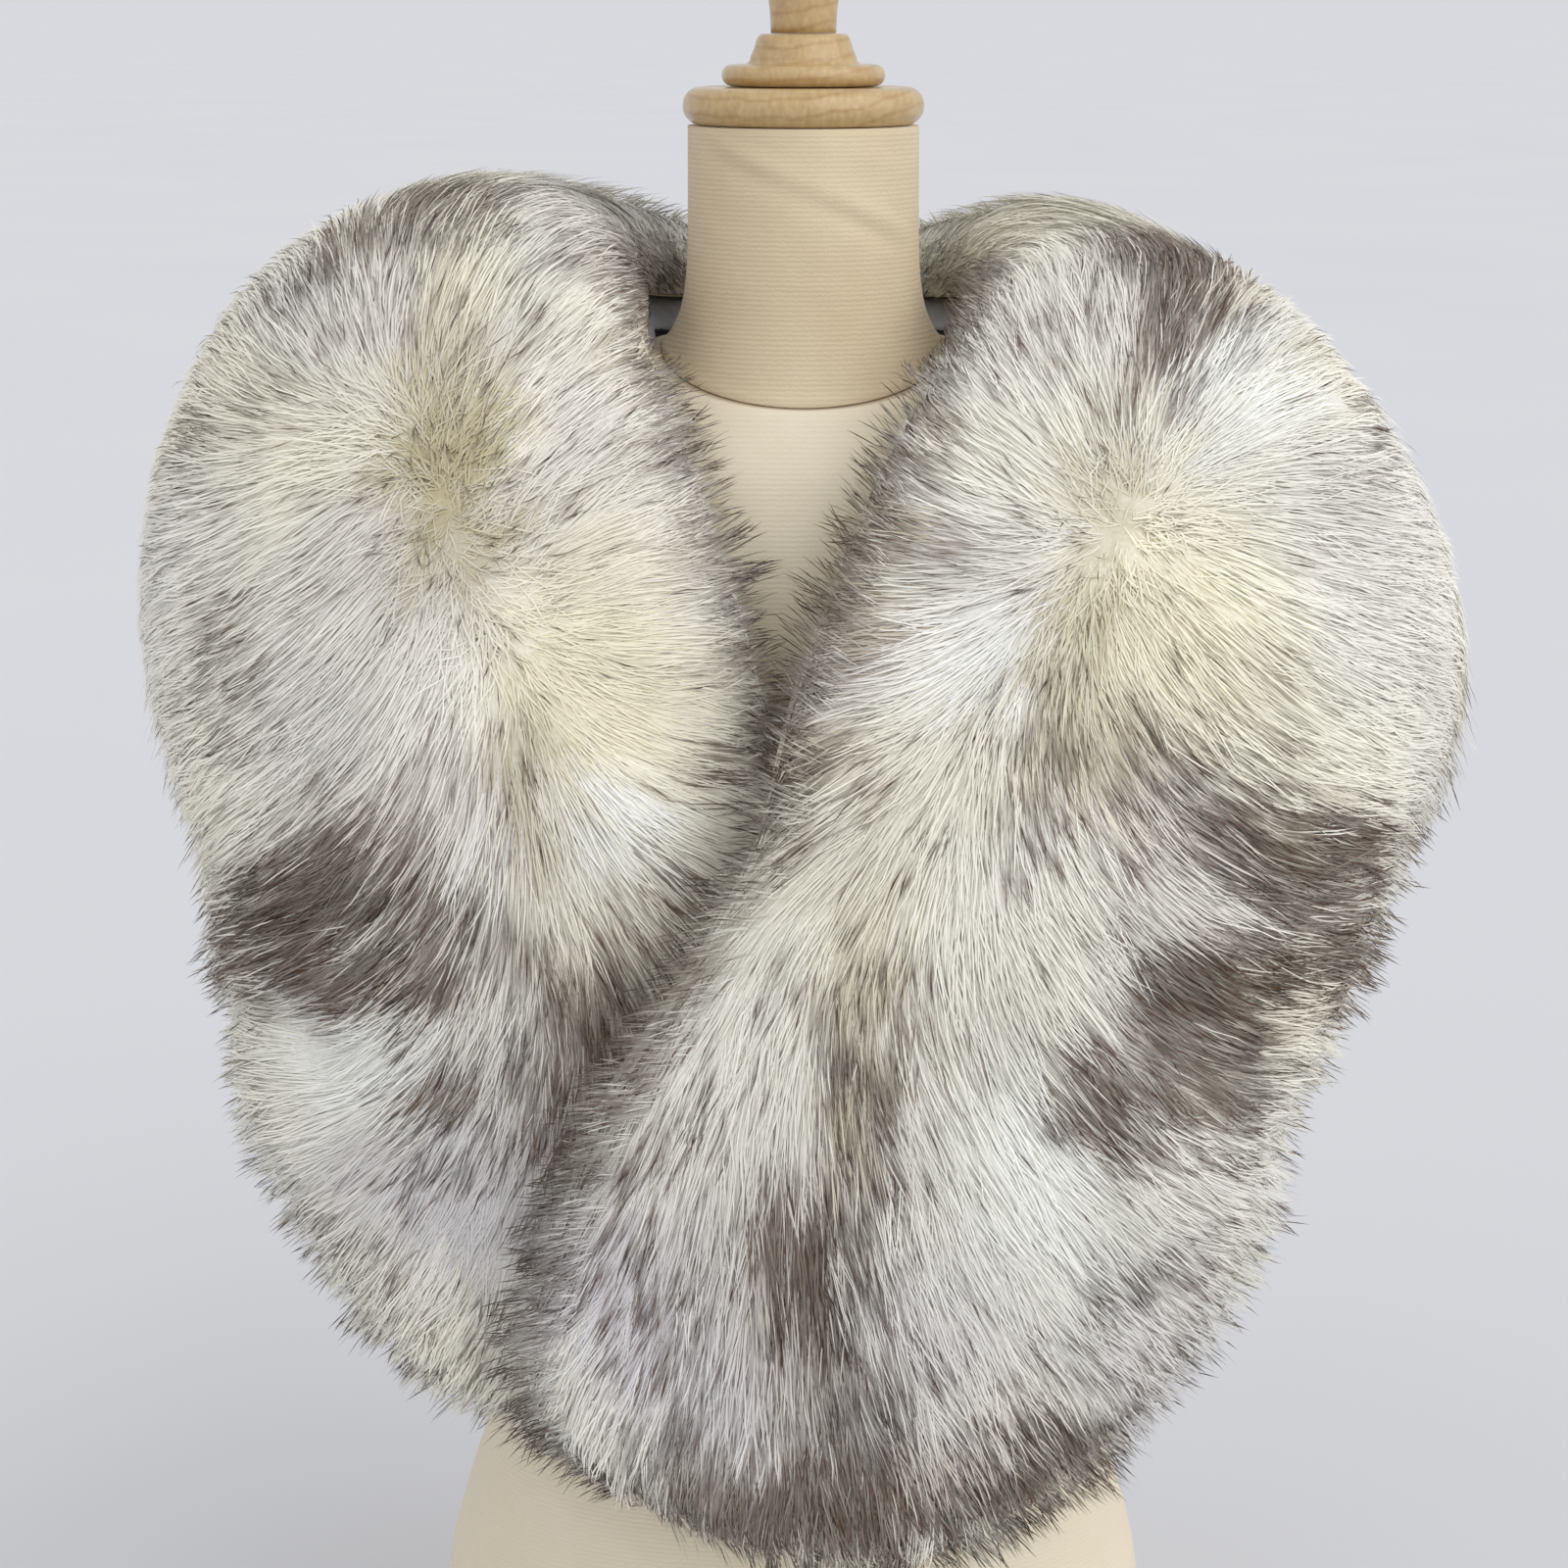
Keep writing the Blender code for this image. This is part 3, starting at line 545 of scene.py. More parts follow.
def combed_places(rows, side):
    """The listed places of one half on its pile: x and z in whole millimetres, and the way the hair lies."""
    u = np.linspace(0.0, len(rows) - 1.0, COMB_STATIONS)
    t = (1.0 - np.cos(np.linspace(0.0, math.pi, COMB_ANGLES))) / 2.0
    sheet, normals = sheet_frame(rows, side, u, t)
    top = sheet + normals * pile_depth(rows, side, u, t, sheet)[..., None]
    seen_x, seen_y = seen_in_photo(top)
    places = []
    for pixel_x, pixel_y, angle in COMBED[side]:
        away = np.hypot(seen_x - pixel_x, seen_y - pixel_y)
        foremost = np.argmin(np.where(away < away.min() + COMB_NEAR, top[..., 1], np.inf))
        x, _, z = top.reshape(-1, 3)[foremost]
        places.append((round(x), round(z), angle))
    return places


class Pile:
    """One half's pile, as a grid over the station along the pelt and the angle across it."""

    STATIONS = 300
    ANGLES = 97
    LEAST_REACH = 0.36
    KEPT_WAY = 0.85
    KEPT_WAY_AT_COLLAR = 0.15

    def __init__(self, side):
        self.side = side
        self.rows = SECTIONS[side]
        self.last = len(self.rows) - 1.0
        self.u = np.linspace(0.0, self.last, self.STATIONS)
        self.t = (1.0 - np.cos(np.linspace(0.0, math.pi, self.ANGLES))) / 2.0
        self.sheet, self.normals = sheet_frame(self.rows, side, self.u, self.t)
        self.rise = self.normals * pile_depth(self.rows, side, self.u, self.t, self.sheet)[..., None]
        self.top = self.sheet + self.rise
        self.along = np.gradient(self.top, axis=0)
        self.across = np.gradient(self.top, axis=1)
        self.out = unit(np.cross(self.along, self.across) * side)
        self.comb()

    def read(self, grid, a, b):
        """A grid read between its points."""
        a = np.clip(a, 0.0, self.STATIONS - 1.001)
        b = np.clip(b, 0.0, self.ANGLES - 1.001)
        i, j = a.astype(int), b.astype(int)
        p, q = (a - i), (b - j)
        if grid.ndim == 3:
            p, q = p[:, None], q[:, None]
        return ((grid[i, j] * (1 - p) + grid[i + 1, j] * p) * (1 - q)
                + (grid[i, j + 1] * (1 - p) + grid[i + 1, j + 1] * p) * q)

    def comb(self):
        """The way the hair lies all over the half, from the combed places and rows on the back."""
        spots, ways = [], []
        facing = self.out[..., 1] < -0.12
        for x, z, angle in combed_places(self.rows, self.side):
            away = np.hypot(self.top[..., 0] - x, self.top[..., 2] - z) + np.where(facing, 0.0, 400.0)
            i, j = np.unravel_index(np.argmin(away), away.shape)
            basis = np.array((self.along[i, j][[0, 2]], self.across[i, j][[0, 2]])).T
            wish = np.array((math.cos(math.radians(angle)), math.sin(math.radians(angle))))
            share = np.linalg.lstsq(basis, wish, rcond=0.05)[0]
            way = share[0] * self.along[i, j] + share[1] * self.across[i, j]
            spots.append(self.top[i, j])
            ways.append(way / np.linalg.norm(way))
        for u in BACK_STATIONS:
            for t, sign in BACK_ROWS:
                i = int(round(u / self.last * (self.STATIONS - 1)))
                j = int(np.argmin(np.abs(self.t - t)))
                way = self.across[i, j] * sign
                spots.append(self.top[i, j])
                ways.append(way / np.linalg.norm(way))
        spots, ways = np.array(spots), np.array(ways)
        flat = self.top.reshape(-1, 3)
        flow = np.zeros_like(flat)
        for first in range(0, len(flat), 4000):
            part = flat[first:first + 4000]
            away = ((part[:, None] - spots[None]) ** 2).sum(axis=2)
            weight = np.exp(-away / (2 * COMB_REACH ** 2)) + 1e-4 * np.exp(-away / (2 * COMB_FAR_REACH ** 2))
            flow[first:first + 4000] = (weight @ ways) / weight.sum(axis=1, keepdims=True)
        flow = flow.reshape(self.top.shape)
        flow -= self.out * (flow * self.out).sum(axis=2, keepdims=True)
        length = np.linalg.norm(flow, axis=2)
        self.agree = length
        self.flow = flow / np.maximum(length, 1e-6)[..., None]
        self.cross = np.cross(self.out, self.flow)
        self.ahead = self.steps_of(self.flow)
        self.aside = self.steps_of(self.cross)

    def steps_of(self, way):
        """Grid steps that move one millimetre the given way on the pile's surface."""
        aa = (self.along * self.along).sum(axis=2)
        bb = (self.across * self.across).sum(axis=2)
        ab = (self.along * self.across).sum(axis=2)
        wa = (way * self.along).sum(axis=2)
        wb = (way * self.across).sum(axis=2)
        det = np.maximum(aa * bb - ab * ab, 1e-4)
        return np.stack([(wa * bb - wb * ab) / det, (wb * aa - wa * ab) / det], axis=2)

    def scatter(self, rng, count):
        """Even random places over the surface of the pile, in grid steps."""
        cell = np.linalg.norm(np.cross(self.along[:-1, :-1], self.across[:-1, :-1]), axis=2).ravel()
        cell = cell / cell.sum()
        chosen = rng.choice(len(cell), size=count, p=cell)
        i, j = np.divmod(chosen, self.ANGLES - 1)
        return i + rng.random(count), j + rng.random(count)

    def grow(self, a, b, length, starts, ends, turn, spill, straight, edge, steps):
        """Paths of hairs from their roots: points in millimetres at each of the steps, and how far each one
        reaches past the pelt's edge."""
        agree = self.read(self.agree, a, b)
        reach = length * (self.LEAST_REACH + (1.0 - self.LEAST_REACH) * smooth_step(agree * 1.15))
        low_b, high_b = edge, self.ANGLES - 1.0 - edge
        root = self.read(self.sheet, a, b) + self.read(self.rise, a, b) * starts[:, None]
        root_rise = self.read(self.rise, a, b)
        path, over = [], np.zeros(len(a))
        slant = np.tan(np.clip(turn, -1.2, 1.2))[:, None]
        root_way = unit(self.read(self.flow, a, b) + slant * self.read(self.cross, a, b))
        at_collar = (a / (self.STATIONS - 1) * self.last < COLLAR_STATION) & (b < self.ANGLES * 0.3)
        kept = np.where(at_collar, self.KEPT_WAY_AT_COLLAR, self.KEPT_WAY)[:, None]
        straight = np.where(at_collar, 0.0, straight)[:, None]
        before = 0.0
        for s in steps:
            for part in range(2 if s > 0 else 0):
                move = reach * (s - before) / 2
                step = self.read(self.ahead, a, b) + slant * self.read(self.aside, a, b)
                new_a, new_b = a + step[:, 0] * move, b + step[:, 1] * move
                held_a, held_b = np.clip(new_a, 0.0, self.STATIONS - 6.0), np.clip(new_b, low_b, high_b)
                wanted = np.hypot(new_a - a, new_b - b)
                lost = np.hypot(new_a - held_a, new_b - held_b) / np.maximum(wanted, 1e-9)
                over = over + move * np.clip(lost, 0.0, 1.0)
                a, b = held_a, held_b
            before = s
            height = starts + (ends - starts) * s ** 0.8
            point = self.read(self.sheet, a, b) + self.read(self.rise, a, b) * height[:, None]
            normal = self.read(self.normals, a, b)
            way = unit(kept * root_way + (1.0 - kept) * self.read(self.flow, a, b))
            into = np.minimum((way * normal).sum(axis=1, keepdims=True), 0.0)
            way = unit(way - 0.9 * normal * into * kept)
            bent = point + way * (spill * (1.0 - np.exp(-over / spill)))[:, None]
            level = root + root_way * (reach * s)[:, None] + root_rise * (height - starts)[:, None]
            share = straight * np.exp(-over / spill)[:, None]
            path.append(bent * (1.0 - share) + level * share)
        return np.stack(path, axis=1), over


RAGGED_WAVES = ((38.0, 7.0), (21.0, 4.5), (12.0, 3.0))


def ragged(points):
    """A gentle wandering of places in millimetres, which gives the markings uneven edges."""
    moved = np.zeros_like(points)
    for wave, high in RAGGED_WAVES:
        x, y, z = (points[:, k] * 2.0 * math.pi / wave for k in range(3))
        moved[:, 0] += high * np.sin(0.9 * z + 1.3 * np.sin(0.7 * x + 0.4 * y))
        moved[:, 2] += high * np.sin(0.8 * x - 0.5 * y + 1.1 * np.sin(0.9 * z))
    return moved


def marking(pile, kind, points, stations):
    """How strongly a kind of marking holds at each point, 0 to 1."""
    total = np.zeros(len(points))
    front = smooth_step(stations - SHOULDER_STATION + 0.5)
    points = points + ragged(points)
    for view, share in (("front", front), ("back", 1.0 - front)):
        for values in MARKINGS.get((pile.side, view, kind), ()):
            mark = dict(zip(MARK_COLUMNS, values))
            turn = math.radians(mark["turn"])
            dx, dz = points[:, 0] - mark["x"], points[:, 2] - mark["z"]
            p = (dx * math.cos(turn) + dz * math.sin(turn)) / mark["long"]
            q = (dz * math.cos(turn) - dx * math.sin(turn)) / mark["wide"]
            holds = mark["strength"] * np.exp(-(p * p + q * q) ** MARK_POWER * MARK_FADE) * share
            total = np.maximum(total, holds)
    return total


def mottling(pile, points, seed, spots, reach):
    """Soft random clouds over the coat, about -1 to 1."""
    rng = np.random.default_rng(seed + pile.side)
    a, b = pile.scatter(rng, spots)
    centres = pile.read(pile.top, a, b)
    signs = rng.normal(0.0, 1.0, spots)
    wide = reach * rng.uniform(0.6, 1.3, spots)
    total = np.zeros(len(points))
    for first in range(0, len(points), 8000):
        part = points[first:first + 8000]
        away = ((part[:, None] - centres[None]) ** 2).sum(axis=2)
        weight = np.exp(-away / (2 * wide[None] ** 2))
        total[first:first + 8000] = (weight @ signs) / np.sqrt((weight ** 2).sum(axis=1) + 0.2)
    return np.clip(total, -1.5, 1.5)


def coat_colours(pile, points, stations, rng):
    """The colour of each hair's shaft."""
    warm = mottling(pile, points, 91, 150, 24.0)
    light = mottling(pile, points, 57, 420, 11.0)
    clouds = {"cream": CREAM_CLOUDS * np.clip(warm, 0.0, 1.0),
              "lilac": LILAC_CLOUDS * np.clip(-warm, 0.0, 1.0)}
    linear = {kind: np.array(srgb(code)[:3]) for kind, code in COAT_COLOURS.items()}
    colour = np.tile(linear["ground"], (len(points), 1))
    for kind in ("cream", "lilac", "khaki", "white"):
        share = marking(pile, kind, points, stations) * (0.8 + 0.4 * rng.random(len(points)))
        share = np.clip(share + clouds.get(kind, 0.0), 0.0, 1.0)[:, None]
        colour = colour * (1 - share) + linear[kind] * share
    # Brown over the coat: the brown markings, partly painted shade along the inner edges and the lap, and
    # brown shafts in the dark markings.
    brown = np.maximum(marking(pile, "brown", points, stations),
                       BROWN_IN_DARK * marking(pile, "dark", points, stations))[:, None]
    colour = colour * (1 - brown) + linear["brown"] * brown
    return colour * (1.0 + 0.05 * light)[:, None]


def hair_mesh(name, paths, widths, sides, normals, colours, inks, steps, material):
    """Narrow strips that end in a point, one for each hair."""
    count = len(paths)
    rings = len(steps) - 1
    taper = np.array(TAPERS[len(steps)])[None, :, None]
    half = sides[:, None, :] * (widths[:, None, None] / 2) * taper
    left, right = paths[:, :rings] - half, paths[:, :rings] + half
    body = np.stack([left, right], axis=2).reshape(count, rings * 2, 3)
    points = np.concatenate([body, paths[:, rings:]], axis=1)
    per = rings * 2 + 1
    loops = []
    for k in range(rings - 1):
        loops += [2 * k, 2 * k + 1, 2 * k + 3, 2 * k + 2]
    loops += [2 * rings - 2, 2 * rings - 1, 2 * rings]
    corners = ((np.arange(count) * per)[:, None] + np.array(loops)[None]).ravel()
    sizes = np.tile(np.array([4] * (rings - 1) + [3]), count)
    starts = np.concatenate([[0], np.cumsum(sizes)[:-1]])
    mesh = bpy.data.meshes.new(name)
    mesh.vertices.add(count * per)
    mesh.vertices.foreach_set("co", (points * MM).ravel())
    mesh.loops.add(len(corners))
    mesh.loops.foreach_set("vertex_index", corners.astype(np.int32))
    mesh.polygons.add(len(sizes))
    mesh.polygons.foreach_set("loop_start", starts.astype(np.int32))
    mesh.polygons.foreach_set("use_smooth", np.ones(len(sizes), dtype=bool))
    mesh.update(calc_edges=True)
    add_attribute(mesh, "coat", np.repeat(colours, per, axis=0))
    along = np.concatenate([np.repeat(inks[:, :rings], 2, axis=1), inks[:, rings:]], axis=1)
    add_attribute(mesh, "ink", along.ravel())
    lay_out(mesh, count, steps, loops)
    mesh.normals_split_custom_set_from_vertices(np.repeat(normals, per, axis=0))
    mesh.materials.append(material)
    obj = bpy.data.objects.new(name, mesh)
    bpy.context.scene.collection.objects.link(obj)
    return obj


def lay_out(mesh, count, steps, loops):
    """A map with a small cell of its own for each hair."""
    columns = int(math.ceil(math.sqrt(count)))
    cell = 1.0 / columns
    local = []
    for s in steps[:-1]:
        v = 0.12 + 0.76 * s
        local += [(0.16, v), (0.84, v)]
    local.append((0.5, 0.88))
    local = np.array(local)[loops] * cell
    index = np.arange(count)
    corner = np.stack([(index % columns) * cell, (index // columns) * cell], axis=1)
    layer = mesh.uv_layers.new(name="OFBake")
    layer.data.foreach_set("uv", (corner[:, None] + local[None]).ravel())


def unit(v):
    return v / np.maximum(np.linalg.norm(v, axis=-1, keepdims=True), 1e-9)


def inked_along(low, steps):
    """How dark a dark-tipped hair is at each step: at the very tip, or from low down in a dark marking."""
    columns = []
    for s in steps:
        plain = smooth_step((s - 0.50) / 0.30)
        deep = smooth_step((s + 0.20) / 0.75)
        columns.append(plain * (1 - low) + deep * low)
    return np.stack(columns, axis=1)


def clear_of_neck(side, paths):
    """Hair beside the neck parts from it, and leaves the gap between the neck and the fur open."""
    x, y, z = paths[..., 0] * side, paths[..., 1], paths[..., 2]
    beside = smooth_step((z - NECK_PARTING["low"]) / 16.0) * smooth_step((NECK_PARTING["behind"] - y) / 18.0)
    gap = NECK_PARTING[side]
    moved = gap + 4.0 * np.logaddexp(0.0, (x - gap) / 4.0)
    paths[..., 0] = side * (x + (moved - x) * beside)
    return paths


def grow_fringe(pile, label, material):
    """Dark-tipped hair in small tufts that reaches past the pelt's edges."""
    rng = np.random.default_rng(1301 + pile.side)
    count = FRINGE_HAIRS
    stations, angles = pile.STATIONS, pile.ANGLES
    place = rng.random(count)
    inner, end = place < FRINGE_INNER_TO, place > FRINGE_END_FROM
    a = rng.uniform(0.0, stations - 6.0, count)
    inset = FRINGE_INSET + np.where(inner, FRINGE_INNER_SPREAD, FRINGE_OUTER_SPREAD) * rng.random(count)
    b = np.where(inner, inset, angles - 1.0 - inset)
    a = np.where(end, stations - rng.uniform(4.0, 14.0, count), a)
    b = np.where(end, rng.uniform(8.0, angles - 9.0, count), b)
    outward = unit(pile.read(np.gradient(pile.sheet, axis=1), a, b)) * np.where(inner, -1.0, 1.0)[:, None]
    onward = unit(pile.read(np.gradient(pile.sheet, axis=0), a, b))
    aim = np.where(end[:, None], onward, outward)
    normal = pile.read(pile.normals, a, b)
    flow = pile.read(pile.flow, a, b)
    flow = flow - normal * (flow * normal).sum(axis=1, keepdims=True)
    tuft = np.where(end, b / 2.0 + 1000, a / 1.7 + np.where(inner, 0, 400)).astype(int)
    tuft_turn = rng.normal(0.0, 0.17, 2000)[tuft][:, None]
    tuft_long = rng.uniform(0.65, 1.1, 2000)[tuft]
    tuft_dark = rng.random(2000)[tuft]
    beside = np.where(end[:, None], outward, onward)
    straight_out = np.where(inner, 0.95, 0.55)[:, None]
    way = straight_out * aim + (1.4 - straight_out) * flow + 0.16 * normal + tuft_turn * beside
    way = way + rng.normal(0.0, 0.11, (count, 3))
    way = unit(way - np.array((0.0, 0.0, 0.10)))
    where = a / (stations - 1) * pile.last
    at_neck = inner & (where < COLLAR_STATION)
    length = FRINGE_LENGTH * tuft_long * rng.uniform(0.6, 1.1, count) * np.where(at_neck, 0.35, 1.0)
    steps = np.array(FRINGE_STEPS)
    root = pile.read(pile.sheet, a, b) + pile.read(pile.rise, a, b) * 0.94
    paths = root[:, None] + way[:, None] * (length[:, None] * steps[None])[..., None]
    paths[..., 2] -= FRINGE_SAG * steps[None] ** 2 * rng.uniform(0.3, 1.2, count)[:, None]
    out = pile.read(pile.out, a, b)
    sides = unit(np.cross(way, out) + 0.3 * rng.normal(0.0, 1.0, (count, 3)))
    likely = np.select([at_neck, inner, end], FRINGE_DARK[:3], FRINGE_DARK[3])
    dark = np.maximum(marking(pile, "dark", root, where), 0.8 * marking(pile, "grey", root, where))
    likely = np.maximum(likely, dark * 0.95)
    inked = 0.35 * tuft_dark + 0.65 * rng.random(count) < likely
    colours = np.clip(coat_colours(pile, root, where, rng), 0.0, 0.95)
    inks = np.array(FRINGE_INK)[None] * (inked * rng.uniform(0.7, 1.0, count))[:, None]
    length_share = np.where(inked, 1.0, np.where(inner, 0.6, 0.85))
    paths = root[:, None] + (paths - root[:, None]) * length_share[:, None, None]
    paths = clear_of_neck(pile.side, paths)
    widths = FRINGE_WIDTH * rng.uniform(0.8, 1.2, count)
    return hair_mesh(f"hair_fringe_{label}", paths, widths, sides, out, colours, inks, steps, material)


def ink_of_hairs(pile, layer, paths, over, stations, lock_dark, lock_spot, steps, rng):
    """How dark each hair is at its steps. Whole locks are dark-tipped more often than single hairs."""
    count = len(paths)
    middle = paths[:, -2] * 0.5 + paths[:, -1] * 0.5 + lock_spot
    marks = {kind: marking(pile, kind, middle, stations)
             for kind in ("dark", "grey", "ticks", "khaki", "white")}
    dark = np.maximum(marks["dark"], 0.75 * marks["grey"])
    ticks = np.maximum(marks["ticks"], 0.8 * marks["khaki"])
    cloud = np.clip(1.0 + 0.9 * mottling(pile, middle, 23, 260, 13.0), 0.15, 2.4)
    rim = smooth_step(over / 9.0)
    likely = layer["dark_share"] * (0.55 * cloud + 1.5 * ticks * np.sqrt(cloud) + 0.4 * rim)
    likely = likely * (1.0 - 0.85 * marks["white"])
    likely = likely + 1.15 * dark * np.sqrt(cloud)
    chance = LOCK_SHARE * lock_dark + (1.0 - LOCK_SHARE) * rng.random(count)
    chance = np.where(chance < 0.5, 1.72 * chance * np.sqrt(chance / 0.5 + 0.25), chance)
    inked = chance < np.clip(likely, 0.0, 0.94)
    strength = np.where(inked, rng.uniform(0.65, 1.0, count), 0.0)
    low = np.clip(dark * 1.3 - 0.1, 0.0, 1.0)
    return inked_along(low, steps) * strength[:, None]


def grow_half(pile, label, materials):
    """The three layers of hair of one half, and its fringe."""
    rng = np.random.default_rng(711 + pile.side)
    lock_a, lock_b = pile.scatter(rng, LOCKS)
    lock_roots = pile.read(pile.top, lock_a, lock_b)
    tree = kdtree.KDTree(LOCKS)
    for k, p in enumerate(lock_roots):
        tree.insert(p, k)
    tree.balance()
    lock_turn = rng.normal(0.0, 0.11, LOCKS)
    lock_long = rng.uniform(0.86, 1.14, LOCKS)
    lock_high = rng.normal(0.0, 0.012, LOCKS)
    lock_dark = rng.random(LOCKS)
    lock_tone = rng.normal(0.0, 1.0, LOCKS)
    lock_free = rng.uniform(0.5, 1.5, LOCKS)
    lock_spot = rng.normal(0.0, 7.0, (LOCKS, 3))
    made = []
    for values in LAYERS:
        layer = dict(zip(LAYER_COLUMNS, values))
        count = layer["hairs"]
        steps = np.array(layer["steps"])
        a, b = pile.scatter(rng, count)
        roots = pile.read(pile.top, a, b)
        lock = np.array([tree.find(p)[1] for p in roots])
        stems, _ = pile.grow(lock_a, lock_b, layer["length"] * lock_long, np.full(LOCKS, layer["starts"]),
                             layer["ends"] + lock_high, lock_turn, layer["spill"] * 1.1,
                             layer["straight"] * lock_free, layer["edge"], steps)
        astray = 1.0 - smooth_step(pile.read(pile.agree, a, b) * 1.1)
        length = layer["length"] * lock_long[lock] * rng.uniform(0.72, 1.12, count)
        turn = lock_turn[lock] + rng.normal(0.0, 1.0, count) * (0.08 + 0.55 * astray)
        tall = layer["ends"] + lock_high[lock] + rng.normal(0.0, 0.012, count) - 0.04 * rng.random(count) ** 3
        free = layer["straight"] * np.clip(lock_free[lock] + rng.normal(0.0, 0.25, count), 0.0, 2.0)
        stations = a / (pile.STATIONS - 1) * pile.last
        root_top = np.full(count, layer["starts"])
        reach = np.full(count, layer["spill"])
        paths, over = pile.grow(a, b, length, root_top, tall, turn, reach, free, layer["edge"], steps)
        inks = ink_of_hairs(pile, layer, paths, over, stations, lock_dark[lock], lock_spot[lock], steps, rng)
        pull = layer["lock_pull"] * rng.uniform(0.5, 1.15, count) * (1.0 - 0.8 * astray)
        pull = (pull * (1.0 - smooth_step(over / 6.0)))[:, None] * steps[None] ** 1.4
        paths = paths * (1 - pull[..., None]) + stems[lock] * pull[..., None]
        way = unit(paths[:, -1] - paths[:, 0])
        out = pile.read(pile.out, a, b)
        beside = unit(np.cross(way, out))
        roll = rng.uniform(-0.22, 0.22, count)[:, None]
        sides = unit(np.cos(roll) * beside + np.sin(roll) * out)
        wave = rng.normal(0.0, 1.0, (count, len(steps), 1)) * (steps * (1.35 - steps) * 2.0)[None, :, None]
        wave = wave * (layer["wave"] * (1.0 + 0.5 * astray))[:, None, None]
        paths = clear_of_neck(pile.side, paths + beside[:, None] * wave)
        middle = paths[:, -2] * 0.5 + paths[:, -1] * 0.5
        colours = coat_colours(pile, middle, stations, rng)
        bright = 1.0 + 0.015 * lock_tone[lock] + rng.normal(0.0, 0.02, count)
        colours = np.clip(colours * bright[:, None], 0.0, 0.98)
        widths = layer["width"] * rng.uniform(0.75, 1.2, count)
        normals = unit(out + rng.normal(0.0, 0.03, (count, 3)))
        made.append(hair_mesh(f"hair_{layer['name']}_{label}", paths, widths, sides, normals, colours, inks,
                              steps, materials[layer["name"]]))
    made.append(grow_fringe(pile, label, materials["guard"]))
    return made


# Closed bodies and sheets.


def loft_rings(name, rings, material, capped=True):
    """A body through closed rings of points in millimetres, made of circles that are bridged in turn."""
    body = bmesh.new()
    edges = []
    for ring in rings:
        made = bmesh.ops.create_circle(body, segments=len(ring), radius=1.0)["verts"]
        for vertex, point in zip(made, ring):
            vertex.co = Vector(point) * MM
        edges.append(list({e for v in made for e in v.link_edges}))
    for low, high in zip(edges, edges[1:]):
        bmesh.ops.bridge_loops(body, edges=low + high)
    if capped:
        for end in (edges[0], edges[-1]):
            bmesh.ops.edgeloop_fill(body, edges=[e for e in end if e.is_valid])
    bmesh.ops.recalc_face_normals(body, faces=body.faces)
    return finish_mesh(name, body, material)


def add_attribute(mesh, name, values):
    """One number or one colour for each vertex."""
    kind, field = ("FLOAT", "value") if values.ndim == 1 else ("FLOAT_COLOR", "color")
    if values.ndim == 2:
        values = np.concatenate([values, np.ones((len(values), 1))], axis=1)
    mesh.attributes.new(name, kind, "POINT").data.foreach_set(field, values.ravel())


def finish_mesh(name, body, material):
    for face in body.faces:
        face.smooth = True
    mesh = bpy.data.meshes.new(name)
    body.to_mesh(mesh)
    body.free()
    mesh.materials.append(material)
    obj = bpy.data.objects.new(name, mesh)
    bpy.context.scene.collection.objects.link(obj)
    return obj


def grid_sheet(name, points, material, wall):
    """A thin cloth or leather wall from a grid of points in millimetres, thickened behind them."""
    body = bmesh.new()
    rows, columns = points.shape[:2]
    bmesh.ops.create_grid(body, x_segments=columns - 1, y_segments=rows - 1, size=1.0)
    body.verts.ensure_lookup_table()
    for k, vertex in enumerate(body.verts):
        vertex.co = Vector(points[k // columns, k % columns]) * MM
    bmesh.ops.recalc_face_normals(body, faces=body.faces)
    bmesh.ops.solidify(body, geom=body.faces[:], thickness=wall * MM)
    bmesh.ops.recalc_face_normals(body, faces=body.faces)
    return finish_mesh(name, body, material)


def thinned(pile, stations, t):
    """How the depth behind the sheet thins towards the pelt's edges and end, 1 in the middle."""
    return section_rounding(t)[None, :] * end_taper(pile.rows, stations)[:, None]


def undercoat(pile, label, material):
    """The dense wool of one half: a closed wall with a rough face below the tips of the hair."""
    rng = np.random.default_rng(40 + pile.side)
    stations = np.linspace(0.0, pile.last - 0.05, 120)
    angles = np.linspace(0.0, math.pi, 37)
    t = (1.0 - np.cos(angles)) / 2.0
    sheet, normals = sheet_frame(pile.rows, pile.side, stations, t)
    deep = pile_depth(pile.rows, pile.side, stations, t, sheet)
    rough = 1.0 + UNDERCOAT_ROUGH * rng.standard_normal(deep.shape) * np.sin(angles)[None]
    front = sheet + normals * (deep * UNDERCOAT_TOP * rough)[..., None]
    back = sheet - normals * (UNDERCOAT_BACK * thinned(pile, stations, t))[..., None]
    ring = np.concatenate([front, back[:, -2:0:-1]], axis=1)
    obj = loft_rings(f"undercoat_{label}", ring, material)
    co = np.empty(len(obj.data.vertices) * 3)
    obj.data.vertices.foreach_get("co", co)
    points = co.reshape(-1, 3) / MM
    where = np.repeat(stations, ring.shape[1])
    add_attribute(obj.data, "coat", coat_colours(pile, points, where, rng) * UNDERCOAT_SHADE)
    dark = np.maximum(marking(pile, "dark", points, where), 0.6 * marking(pile, "grey", points, where))
    # Painted shade: along the pelt's edges, and on the hidden back, the undercoat is mixed towards brown as
    # shade, stored in the ink attribute together with the dark markings.
    near_edge = np.concatenate([1.0 - np.sin(angles), np.ones(len(angles) - 2)]) ** 2
    shade = RIM_SHADE * np.tile(near_edge, len(stations)) * rng.uniform(0.4, 1.0, len(points))
    add_attribute(obj.data, "ink", np.maximum(0.7 * dark, shade))
    return obj


